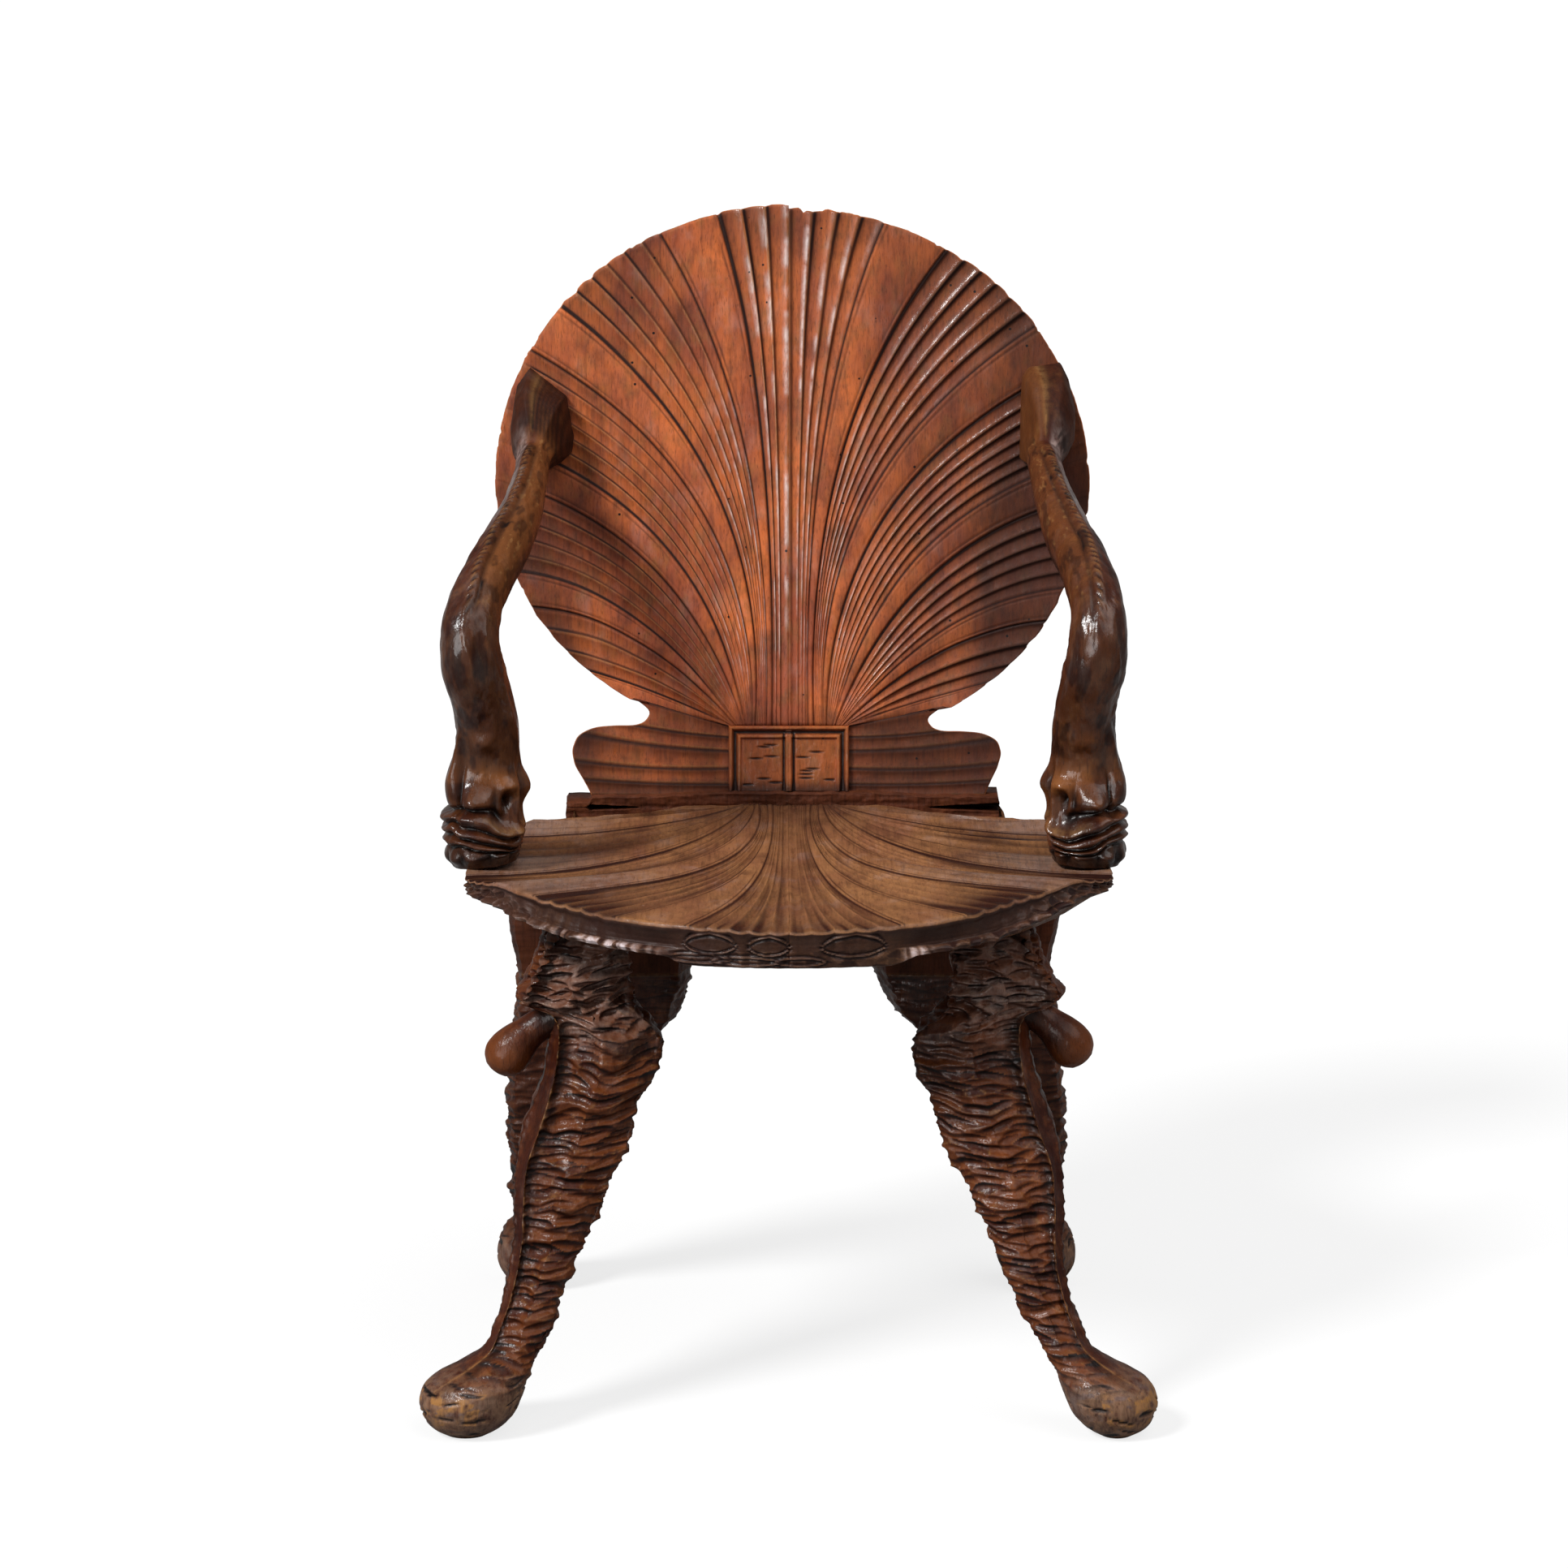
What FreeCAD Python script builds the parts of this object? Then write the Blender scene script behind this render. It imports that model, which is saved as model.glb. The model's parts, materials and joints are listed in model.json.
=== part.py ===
import FreeCAD, Part
import math
import os

# Grotto armchair: scallop seat and back, two dolphin arms, four rock-carved legs.
# Millimetres, +Z up, the sitter looks along -Y, origin on the floor under the middle of the chair.

Vector = FreeCAD.Vector

# Seat
seat_top_z = 428.0
seat_thickness = 26.0
seat_edge_thickness = 14.0
seat_half_width = 261.0
seat_widest_y = -82.0
seat_front_reach = 213.0
seat_rear_reach = 345.0
seat_hinge_y = 168.0
seat_hinge_half = 46.0
seat_rear_y = 212.0
seat_dish = 9.0
seat_bevel = 34.0
seat_lap = 2.0
apron_half_width = 92.0
apron_setback = 5.0
apron_depth = 54.0
rear_strip_lap = 6.0
rear_strip_taper = 6.0

# Back
back_foot_y = 180.0
back_tilt = 9.81
back_thickness = 23.0
back_half_width = 253.0
back_widest_v = 266.0
back_upper_reach = 234.0
back_lower_reach = 222.0
back_hinge_v = 56.0
back_hinge_half = 53.0
back_hollow = 8.0

# Lower panel of the back: two lobes and a tablet of mouldings
lobe_half_width = 181.0
lobe_top_v = 55.0
lobe_corner = 22.0
lobe_foot_inset = 13.0
notch_tip_x = 120.0
notch_mouth = 9.0
notch_height = 23.0
panel_tuck = 32.0
panel_tail = 30.0
panel_recess = 2.0
lobe_groove_count = 3
lobe_groove_width = 4.0
lobe_groove_depth = 1.6
tablet_half_width = 50.0
tablet_bar_width = 8.0
tablet_bar_rise = 3.5
tablet_bar_gap = 4.0

# Carved flutes and the plain bands between their groups
flute_depth = 1.9
band_rise = 0.5
flute_scallop = 1.4

# Rail under the back
ledge_half_width = 185.0
ledge_rise = 9.0
ledge_housing = 8.0
ledge_setback = 2.0
ledge_slit_from = 116.0
ledge_slit_height = 5.0
ledge_slit_depth = 14.0

# Legs
front_seam_outer_z = 352.0
front_seam_inner_z = 336.0
rear_seam_outer_z = 316.0
rear_seam_inner_z = 280.0
front_foot_x = 255.0
front_foot_y = -215.0
rear_foot_x = 220.0
rear_foot_y = 164.0
foot_radius_x = 38.0
foot_radius_y = 36.0
foot_height = 100.0
leg_hollow = 0.11
leg_crown = 5.0
leg_inner_lean = 5.0
leg_outer_lean = 6.0
knob_radius = 19.0
knob_x = 224.0
knob_y = -133.0
knob_z = 297.0
knob_neck_radius = 13.0
knob_root_x = 172.0
knob_root_z = 330.0
lip_x = 188.0
lip_z = 336.0
lip_reach_x = 40.0
lip_reach_y = 38.0
lip_half_height = 11.0

# Dolphin arms
arm_inset = 17.0
arm_head_y = -37.0
arm_head_width = 70.0
arm_head_length = 92.0
arm_head_height = 98.0
arm_body_width = 51.0
arm_shoulder_rise = 192.0
arm_shoulder_y = -72.0
arm_tail_x = 206.0
arm_tail_v = 338.0
arm_tail_width = 46.0
arm_tail_height = 84.0
arm_tail_depth = 14.0
fluke_top = 46.0
fluke_foot = 40.0
fluke_inner = 36.0
fluke_outer = 16.0
fluke_depth = 40.0
fin_radius = 20.0
arm_housing = 4.0
arm_housing_width = 52.0
arm_housing_length = 72.0
arm_housing_clear = 100.0
jaw_height = 13.0
jaw_overhang = 3.5
brow_radius = 14.0
brow_spread = 17.0

# Fixings
glue_clearance = 0.1
seating_gap = 0.3
dowel_diameter = 8.0
dowel_length = 60.0
leg_dowel_diameter = 16.0
leg_dowel_length = 60.0
hip_dowel_diameter = 10.0
hip_dowel_in_seat = 14.0
hip_dowel_in_hip = 22.0
arm_dowel_diameter = 12.0
arm_dowel_in_seat = 14.0
arm_dowel_in_head = 26.0
screw_diameter = 5.0
screw_head_diameter = 9.5
screw_head_height = 3.2
tail_screw_bite = 22.0
ledge_screw_bite = 12.0
back_screw_bite = 24.0

# Worked out from the values above
seat_under_z = seat_top_z - seat_thickness
ledge_top_z = seat_top_z + ledge_rise
ledge_under_z = seat_top_z - ledge_housing
ledge_front_y = seat_hinge_y + ledge_setback
back_axis = FreeCAD.Rotation(Vector(1, 0, 0), 90.0 - back_tilt)
back_place = FreeCAD.Placement(Vector(0, back_foot_y, ledge_top_z), back_axis)
half_turn = FreeCAD.Rotation(Vector(0, 0, 1), 180.0)
seat_place = FreeCAD.Placement(Vector(0, seat_hinge_y, seat_top_z), half_turn)
seat_front_y = seat_widest_y - seat_front_reach
tail_face_w = band_rise + seating_gap
far = 2000.0

# Groups of each fan from the middle outwards: how many flutes, and the rim angle where the group ends.
# A group of none is one broad plain band.
back_flute_counts = [4, 0, 6, 0, 6, 0, 5, 0, 3, 0]
back_rim_angles = [14.5, 26.5, 51.0, 61.5, 81.5, 90.0, 110.5, 119.0, 137.0, 147.0]
seat_flute_counts = [5, 0, 5, 0, 4, 0, 3, 0]
seat_rim_angles = [17.0, 32.0, 53.0, 71.0, 89.0, 102.0, 117.0, 131.0]


def ease(value):
    """Smooth step from 0 to 1."""
    inside = min(max(value, 0.0), 1.0)
    return inside * inside * (3.0 - 2.0 * inside)


def bezier_edge(poles):
    curve = Part.BezierCurve()
    curve.setPoles(poles)
    return curve.toShape()


def bezier_face(rows):
    surface = Part.BezierSurface()
    surface.increase(len(rows) - 1, len(rows[0]) - 1)
    for i, row in enumerate(rows):
        for j, pole in enumerate(row):
            surface.setPole(i + 1, j + 1, pole)
    return surface.toShape()


def solid_from_faces(faces):
    shell = Part.makeShell(faces)
    shell.sewShape()
    solid = Part.Solid(shell)
    if solid.Volume < 0:
        solid.reverse()
    return solid


class Fan:
    """Half a scallop shell: flutes that leave a short hinge line squarely and sweep out to an oval rim.

    Local axes: u across, v from the hinge towards the middle of the rim, w out of the carved face.
    """

    def __init__(self, half_width, widest_v, reaches, hinge, hollow, thickness, groups):
        self.half_width = half_width
        self.widest_v = widest_v
        self.far_reach, self.near_reach = reaches
        self.hinge_half, self.hinge_v = hinge
        self.hollow = hollow
        self.thickness = thickness
        self.groups = list(groups)
        self.last_angle = self.groups[-1][1]

    def rim(self, angle, outward=0.0):
        """Point of the oval rim at an angle from the middle line."""
        turn = math.radians(angle)
        reach = self.far_reach if angle <= 90.0 else self.near_reach
        u = (self.half_width + outward) * math.sin(turn)
        return u, self.widest_v + (reach + outward) * math.cos(turn)

    def line(self, angle, outward=0.0):
        """Plan poles of the quadratic curve from the hinge to the rim."""
        rim_u, rim_v = self.rim(angle, outward)
        hinge_u = self.hinge_half * (angle / self.last_angle) ** 0.55
        spread = ease((angle - 45.0) / 80.0)
        settle = ease((angle - 0.8 * self.last_angle) / (0.2 * self.last_angle))
        along = -0.1 + 0.6 * spread
        up = 0.62 + 0.33 * spread - 0.45 * settle
        knee = (hinge_u + along * (rim_u - hinge_u), self.hinge_v + up * (rim_v - self.hinge_v))
        return [(hinge_u, self.hinge_v), knee, (rim_u, rim_v)]

    def front_poles(self, plan, rise):
        """Lifts plan poles to the carved face: hollowed in the middle, highest at the rim."""
        heights = [0.3 * rise, rise - self.hollow, rise]
        return [Vector(u, v, w) for (u, v), w in zip(plan, heights)]

    def rear_poles(self, plan):
        return [Vector(u, v, -self.thickness) for u, v in plan]

    def bulge(self, first, middle, last):
        """Plan poles of the control row that carries a quadratic flute through its middle line."""
        return [
            (2.0 * m[0] - (a[0] + b[0]) / 2.0, 2.0 * m[1] - (a[1] + b[1]) / 2.0)
            for a, m, b in zip(first, middle, last)
        ]

    def segments(self):
        """Start angle, end angle and rise of every flute and band; a flute's rise is negative."""
        start = 0.0
        for count, end in self.groups:
            parts = max(count, 1)
            step = (end - start) / parts
            rise = -flute_depth if count else band_rise
            for k in range(parts):
                yield start + k * step, start + (k + 1) * step, rise
            start = end

    def solid(self):
        """Closed half shell."""
        faces = []
        rear_edges = []
        for start, end, rise in self.segments():
            first = self.line(start)
            last = self.line(end)
            middle = self.line((start + end) / 2.0, flute_scallop if rise < 0.0 else 0.0)
            bulge = self.bulge(first, middle, last)
            rows = [
                self.front_poles(first, 0.0),
                self.front_poles(bulge, 2.0 * rise),
                self.front_poles(last, 0.0),
            ]
            rear = [self.rear_poles(plan) for plan in (first, bulge, last)]
            faces.append(bezier_face(rows))
            rear_rim = [row[2] for row in rear]
            rear_hinge = [row[0] for row in rear]
            faces.append(bezier_face([[row[2] for row in rows], rear_rim]))
            faces.append(bezier_face([[row[0] for row in rows], rear_hinge]))
            rear_edges.append(bezier_edge(rear_rim))
            rear_edges.append(bezier_edge(rear_hinge))
        for angle in (0.0, self.last_angle):
            plan = self.line(angle)
            faces.append(bezier_face([self.front_poles(plan, 0.0), self.rear_poles(plan)]))
            rear_edges.append(bezier_edge(self.rear_poles(plan)))
        faces.append(Part.Face(Part.Wire(Part.__sortEdges__(rear_edges))))
        return solid_from_faces(faces)


def box(x0, x1, y0, y1, z0, z1):
    return Part.makeBox(x1 - x0, y1 - y0, z1 - z0, Vector(x0, y0, z0))


def mirrored(shape):
    return shape.mirror(Vector(0, 0, 0), Vector(1, 0, 0))


def prism(points, depth):
    """Polygon in the XY plane pulled along Z."""
    outline = Part.makePolygon([Vector(*p) for p in points + points[:1]])
    return Part.Face(outline).extrude(Vector(0, 0, depth))


def pin(start, direction, length, diameter):
    return Part.makeCylinder(diameter / 2.0, length, start, direction)


def screw(start, direction, length, extra=0.0):
    """Countersunk screw whose flat head lies at start; extra widens it into its own hole."""
    head = Part.makeCone(
        screw_head_diameter / 2.0 + extra, screw_diameter / 2.0 + extra, screw_head_height, start, direction
    )
    return head.fuse(pin(start, direction, length + extra, screw_diameter + 2.0 * extra)).removeSplitter()


def drilled(shape, tools):
    for tool in tools:
        shape = shape.cut(tool)
    return shape


# Fixings, placed once and used for the pieces and for their holes


def seat_dowel_places():
    z = seat_top_z - seat_thickness * 0.58
    for share in (0.2, 0.5, 0.8):
        yield Vector(-dowel_length / 2.0, seat_front_y + share * (seat_hinge_y - seat_front_y), z)


def back_dowel_places():
    high = back_widest_v + back_upper_reach
    for share in (0.15, 0.5, 0.85):
        v = back_hinge_v + share * (high - back_hinge_v)
        yield back_place.multVec(Vector(-dowel_length / 2.0, v, -back_thickness * 0.6))


def ledge_screw_places():
    y = (ledge_front_y + seat_rear_y) / 2.0
    for share in (-0.75, -0.28, 0.28, 0.75):
        yield Vector(share * ledge_half_width, y, seat_under_z)


def back_screw_places():
    lean = math.tan(math.radians(back_tilt))
    y = back_foot_y + back_thickness * 0.55 + back_screw_bite * 0.5 * lean
    for share in (-0.6, -0.14, 0.14, 0.6):
        yield Vector(share * ledge_half_width, y, ledge_under_z)


def tail_screw_places():
    for side in (-1, 1):
        yield back_place.multVec(Vector(side * arm_tail_x, arm_tail_v, -back_thickness))


def joint_dowels(places, extra=0.0):
    across = Vector(1, 0, 0)
    return [
        pin(p - across * extra, across, dowel_length + 2 * extra, dowel_diameter + 2 * extra)
        for p in places
    ]


def ledge_screws(extra=0.0):
    length = ledge_under_z - seat_under_z + ledge_screw_bite
    return [screw(p, Vector(0, 0, 1), length, extra) for p in ledge_screw_places()]


def back_screws(extra=0.0):
    length = ledge_top_z - ledge_under_z + back_screw_bite
    return [screw(p, Vector(0, 0, 1), length, extra) for p in back_screw_places()]


def tail_screws(extra=0.0):
    outward = back_axis.multVec(Vector(0, 0, 1))
    return [screw(p, outward, back_thickness + tail_screw_bite, extra) for p in tail_screw_places()]


def upright_dowels(places, below, above, diameter, extra=0.0):
    """Upright dowels that reach below and above the joint points given."""
    up = Vector(0, 0, 1)
    length = below + above + 2 * extra
    return [pin(p - up * (below + extra), up, length, diameter + 2 * extra) for p in places]


# Seat


def arm_head_place(side):
    return Vector(side * (seat_half_width - arm_inset), arm_head_y, seat_top_z - arm_housing)


def arm_housing_box(side, extra):
    """Flat housing let into the seat for a dolphin's head."""
    floor = arm_head_place(side)
    half_x = arm_housing_width / 2.0 + extra
    half_y = arm_housing_length / 2.0 + extra
    top = floor.z + arm_housing_clear
    return box(floor.x - half_x, floor.x + half_x, floor.y - half_y, floor.y + half_y, floor.z, top)


def seat_side_x(y):
    """Half width of the seat's oval behind its widest line."""
    return seat_half_width * math.sqrt(1.0 - ((y - seat_widest_y) / seat_rear_reach) ** 2)


def seat_oval(inset, z):
    """Half outline of the seat on the -X side, drawn in from the rim."""
    diagonal = math.sqrt(0.5)
    rear_mid_y = (seat_widest_y + seat_hinge_y) / 2.0
    middle = Vector(0, seat_hinge_y, z)
    front = Vector(0, seat_front_y + inset, z)
    front_mid = Vector(
        -(seat_half_width - inset) * diagonal, seat_widest_y - (seat_front_reach - inset) * diagonal, z
    )
    side = Vector(inset - seat_half_width, seat_widest_y, z)
    rear_mid = Vector(inset - seat_side_x(rear_mid_y), rear_mid_y, z)
    rear = Vector(inset - seat_side_x(seat_hinge_y), seat_hinge_y, z)
    edges = [
        Part.Arc(front, front_mid, side).toShape(),
        Part.Arc(side, rear_mid, rear).toShape(),
        Part.makeLine(rear, middle),
        Part.makeLine(middle, front),
    ]
    return Part.Wire(edges)


def seat_half():
    """Left seat board: fluted slab, bevelled underside, front apron and the strip under the ledge."""
    fan = Fan(
        seat_half_width,
        seat_hinge_y - seat_widest_y,
        (seat_front_reach, seat_rear_reach),
        (seat_hinge_half, 0.0),
        seat_dish,
        seat_edge_thickness,
        zip(seat_flute_counts, seat_rim_angles),
    )
    slab = fan.solid()
    slab.Placement = seat_place
    core_top = seat_top_z - seat_edge_thickness + seat_lap
    core = Part.makeLoft([seat_oval(seat_bevel, seat_under_z), seat_oval(seat_lap, core_top)], True, True)
    apron_y = seat_front_y + apron_setback
    apron = box(-apron_half_width, 0, apron_y, apron_y + apron_depth, seat_under_z, core_top)
    within_rim = Part.Face(seat_oval(seat_lap, seat_under_z)).extrude(Vector(0, 0, seat_thickness))
    strip_y = seat_hinge_y - rear_strip_lap
    strip_x = seat_lap - seat_side_x(seat_hinge_y)
    strip = prism(
        [(0, strip_y), (0, seat_rear_y), (strip_x + rear_strip_taper, seat_rear_y), (strip_x, strip_y)],
        core_top - seat_under_z,
    )
    strip.translate(Vector(0, 0, seat_under_z))
    board = slab.fuse([core, apron.common(within_rim), strip]).removeSplitter()
    housing = box(-far, far, ledge_front_y, far, ledge_under_z, far)
    board = drilled(board, [housing, arm_housing_box(-1, glue_clearance)])
    board = drilled(board, joint_dowels(seat_dowel_places(), glue_clearance))
    board = drilled(board, ledge_screws(glue_clearance))
    board = drilled(board, arm_dowels(glue_clearance))
    return drilled(board, hip_dowels(glue_clearance))


# Back


def lobe_outline():
    """Half outline of the lower panel, from the middle line out round the lobe and into the notch."""
    outer = lobe_half_width
    foot_x = outer - lobe_foot_inset
    tuck_v = back_hinge_v + panel_tuck
    diagonal = lobe_corner * (1.0 - math.sqrt(0.5))
    p = [
        Vector(0, -panel_tail, 0),
        Vector(foot_x, -panel_tail, 0),
        Vector(foot_x, 0, 0),
        Vector(outer, lobe_top_v - lobe_corner, 0),
        Vector(outer - diagonal, lobe_top_v - diagonal, 0),
        Vector(outer - lobe_corner, lobe_top_v, 0),
        Vector(notch_tip_x + notch_mouth, lobe_top_v, 0),
        Vector(notch_tip_x, lobe_top_v + notch_height / 2.0, 0),
        Vector(notch_tip_x + notch_mouth / 2.0, lobe_top_v + notch_height, 0),
        Vector(notch_tip_x - notch_mouth, tuck_v, 0),
        Vector(0, tuck_v, 0),
    ]
    edges = [
        Part.makePolygon(p[0:4]),
        Part.Arc(p[3], p[4], p[5]).toShape(),
        Part.makeLine(p[5], p[6]),
        Part.Arc(p[6], p[7], p[8]).toShape(),
        Part.makePolygon(p[8:11] + p[0:1]),
    ]
    return Part.Wire(edges)


def lobe_grooves():
    """V grooves that part the flat bands of a lobe."""
    step = lobe_top_v / (lobe_groove_count + 1.0)
    half = lobe_groove_width / 2.0
    for k in range(lobe_groove_count):
        v = step * (k + 1)
        low = Vector(tablet_half_width, v - half, -panel_recess)
        high = Vector(tablet_half_width, v + half, -panel_recess)
        root = Vector(tablet_half_width, v, -panel_recess - lobe_groove_depth)
        section = Part.makePolygon([low, high, root, low])
        yield Part.Face(section).extrude(Vector(lobe_half_width, step * 0.25, 0))


def tablet_bars():
    """Raised mouldings of the half tablet: two nested frames and half of the middle bar."""
    floor = -2.0 * panel_recess
    top = tablet_bar_rise - panel_recess
    bar = tablet_bar_width / 2.0
    for inset in (0.0, bar + tablet_bar_gap):
        outer = tablet_half_width - inset
        head = back_hinge_v - inset
        yield box(outer - bar, outer, -panel_tail, head, floor, top)
        yield box(0, outer - bar, head - bar, head, floor, top)
    yield box(0, bar, -panel_tail, back_hinge_v - 2.0 * bar - tablet_bar_gap, floor, top)


def back_half():
    """Right back board: fluted shell above, lobed panel with the tablet below."""
    fan = Fan(
        back_half_width,
        back_widest_v,
        (back_upper_reach, back_lower_reach),
        (back_hinge_half, back_hinge_v),
        back_hollow,
        back_thickness,
        zip(back_flute_counts, back_rim_angles),
    )
    shell = fan.solid()
    panel_depth = back_thickness - 2.0 * panel_recess
    panel = Part.Face(lobe_outline()).extrude(Vector(0, 0, -panel_depth))
    panel.translate(Vector(0, 0, -panel_recess))
    panel = drilled(panel, lobe_grooves())
    board = shell.fuse([panel] + list(tablet_bars())).removeSplitter()
    board.Placement = back_place
    board = board.cut(box(-far, far, -far, far, -far, ledge_top_z))
    board = drilled(board, joint_dowels(back_dowel_places(), glue_clearance))
    board = drilled(board, back_screws(glue_clearance))
    return drilled(board, tail_screws(glue_clearance))


def rear_ledge():
    """Straight rail between seat and back; its ends are undercut, which leaves a wedge-shaped slit."""
    rail = box(-ledge_half_width, ledge_half_width, ledge_front_y, seat_rear_y, ledge_under_z, ledge_top_z)
    for side in (-1, 1):
        tip = Vector(side * ledge_slit_from, ledge_front_y, seat_top_z)
        low = Vector(side * ledge_half_width, ledge_front_y, seat_top_z)
        high = low + Vector(0, 0, ledge_slit_height)
        wedge = Part.Face(Part.makePolygon([tip, low, high, tip]))
        rail = rail.cut(wedge.extrude(Vector(0, ledge_slit_depth, 0)))
    rail = drilled(rail, ledge_screws(glue_clearance))
    return drilled(rail, back_screws(glue_clearance))


# Legs on the +X side: heights of the sections, then outer x, inner x, carved y and plain y of each

leg_heights = [seat_under_z, 350.0, 300.0, 250.0, 200.0, 150.0, 100.0, 62.0, 22.0]
front_outer = [189.0, 191.0, 182.0, 198.0, 210.0, 213.0, 226.0, 252.0, 268.0]
front_inner = [124.0, 113.0, 105.0, 119.0, 138.0, 159.0, 184.0, 200.0, 222.0]
front_carved = [-172.0, -177.0, -181.0, -187.0, -194.0, -202.0, -212.0, -226.0, -232.0]
front_plain = [-92.0, -94.0, -102.0, -114.0, -130.0, -147.0, -166.0, -180.0, -190.0]
rear_outer = [226.0, 236.0, 231.0, 234.0, 239.0, 241.0, 240.0, 240.0, 238.0]
rear_inner = [72.0, 72.0, 82.0, 100.0, 132.0, 159.0, 182.0, 194.0, 206.0]
rear_carved = [160.0, 165.0, 169.0, 171.0, 172.0, 173.0, 175.0, 184.0, 188.0]
rear_plain = [86.0, 88.0, 91.0, 95.0, 101.0, 110.0, 124.0, 136.0, 144.0]
# Club foot from the floor up: share of its height, share of the swell, share of the way back to the ankle
foot_shape = [(0.0, 0.0, 0.0), (0.13, 0.8, 0.0), (0.31, 1.0, 0.0)]
foot_shape += [(0.48, 0.86, 0.14), (0.68, 0.36, 0.52), (1.0, 0.0, 1.0)]

front_stations = list(zip(leg_heights, front_outer, front_inner, front_carved, front_plain))
rear_stations = list(zip(leg_heights, rear_outer, rear_inner, rear_carved, rear_plain))


def leg_section(station):
    """One closed section: crowned carved face, hollow outer side, plain inner side and rear."""
    z, outer, inner, carved, plain = station
    out_of_face = leg_crown if plain > carved else -leg_crown
    ridge = Vector(outer, carved, z)
    inner_carved = Vector(inner, carved + 0.8 * out_of_face, z)
    inner_plain = Vector(inner + leg_inner_lean, plain, z)
    outer_plain = Vector(outer - leg_outer_lean, plain, z)
    crown = Vector((outer + inner) / 2.0, carved - out_of_face, z)
    hollow = Vector(outer - leg_hollow * (outer - inner), (carved + plain) / 2.0, z)
    edges = [
        Part.Arc(ridge, crown, inner_carved).toShape(),
        Part.makeLine(inner_carved, inner_plain),
        Part.makeLine(inner_plain, outer_plain),
        Part.Arc(outer_plain, hollow, ridge).toShape(),
    ]
    return Part.Wire(edges)


def oval(centre, across, along, half_across, half_along):
    """Elliptical section with its two half axes."""
    if half_across >= half_along:
        curve = Part.Ellipse(centre + across * half_across, centre + along * half_along, centre)
    else:
        curve = Part.Ellipse(centre + along * half_along, centre - across * half_across, centre)
    return Part.Wire(curve.toShape())


def ellipsoid(centre, radius_x, radius_y, radius_z):
    ball = Part.makeSphere(1.0)
    stretch = FreeCAD.Matrix()
    stretch.scale(radius_x, radius_y, radius_z)
    ball = ball.transformGeometry(stretch)
    ball.translate(centre)
    return ball


def bulb_foot(x, y, stations):
    """Club foot: oval sections that swell out from the ankle to the toe and close on the floor."""
    z, outer, inner, carved, plain = stations[-3]
    ankle = Vector((outer + inner) / 2.0, (carved + plain) / 2.0, 0)
    toe = Vector(x, y, 0)
    half_x = 0.42 * (outer - inner)
    half_y = 0.42 * abs(plain - carved)
    sections = []
    for height, swell, back in foot_shape:
        centre = toe + (ankle - toe) * back + Vector(0, 0, height * foot_height)
        across = half_x + (foot_radius_x - half_x) * swell
        along = half_y + (foot_radius_y - half_y) * swell
        sections.append(oval(centre, Vector(1, 0, 0), Vector(0, 1, 0), across, along))
    return Part.makeLoft(sections, True, False)


def hanging_knob():
    """Smooth pear-shaped knob on the outer side, with the lip that it hangs from."""
    ball = Part.makeSphere(knob_radius, Vector(knob_x, knob_y, knob_z))
    root = Vector(knob_root_x, knob_y, knob_root_z)
    neck_line = Vector(knob_x, knob_y, knob_z) - root
    neck = Part.makeCone(knob_neck_radius, knob_radius * 0.92, neck_line.Length, root, neck_line)
    lip = ellipsoid(Vector(lip_x, knob_y, lip_z), lip_reach_x, lip_reach_y, lip_half_height)
    return ball.fuse([neck, lip])


def above_seam(outer_z, inner_z, outer_x, inner_x):
    """Space above the slanted glue joint between leg and hip block."""
    slope = (outer_z - inner_z) / (outer_x - inner_x)
    low = Vector(0, -far, inner_z - inner_x * slope)
    high = low + Vector(far, 0, far * slope)
    side = Part.makePolygon([low, high, Vector(far, -far, far), Vector(0, -far, far), low])
    return Part.Face(side).extrude(Vector(0, 2 * far, 0))


def leg_and_hip(stations, foot_x, foot_y, seam_outer_z, seam_inner_z, extras):
    """Right-hand leg with its foot, and the hip block that joins it to the seat."""
    shank = Part.makeLoft([leg_section(s) for s in reversed(stations)], True, False)
    upper = above_seam(seam_outer_z, seam_inner_z, stations[1][1], stations[1][2])
    hip = shank.common(upper)
    leg = shank.cut(upper).fuse([bulb_foot(foot_x, foot_y, stations)] + extras)
    leg = leg.cut(upper).removeSplitter()
    return leg, hip


def seam_middle(stations, outer_z, inner_z):
    z, outer, inner, carved, plain = stations[1]
    return Vector((outer + inner) / 2.0, (carved + plain) / 2.0, (outer_z + inner_z) / 2.0)


def leg_dowels(extra=0.0):
    """One stout dowel across each slanted joint, right side first."""
    centres = [
        seam_middle(front_stations, front_seam_outer_z, front_seam_inner_z),
        seam_middle(rear_stations, rear_seam_outer_z, rear_seam_inner_z),
    ]
    centres += [Vector(-c.x, c.y, c.z) for c in centres]
    half = leg_dowel_length / 2.0
    return upright_dowels(centres, half, half, leg_dowel_diameter, extra)


def hip_dowels(extra=0.0):
    """Two dowels from each hip block up into the seat."""
    centres = []
    for stations in (front_stations, rear_stations):
        z, outer, inner, carved, plain = stations[0]
        for share in (0.22, 0.78):
            x = inner + share * (outer - inner)
            centres.append(Vector(x, plain + 0.3 * (carved - plain), seat_under_z))
    centres += [Vector(-c.x, c.y, c.z) for c in centres]
    return upright_dowels(centres, hip_dowel_in_hip, hip_dowel_in_seat, hip_dowel_diameter, extra)


# Dolphin arms


def arm_dowels(extra=0.0):
    centres = [arm_head_place(side) for side in (-1, 1)]
    return upright_dowels(centres, arm_dowel_in_seat, arm_dowel_in_head, arm_dowel_diameter, extra)


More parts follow.
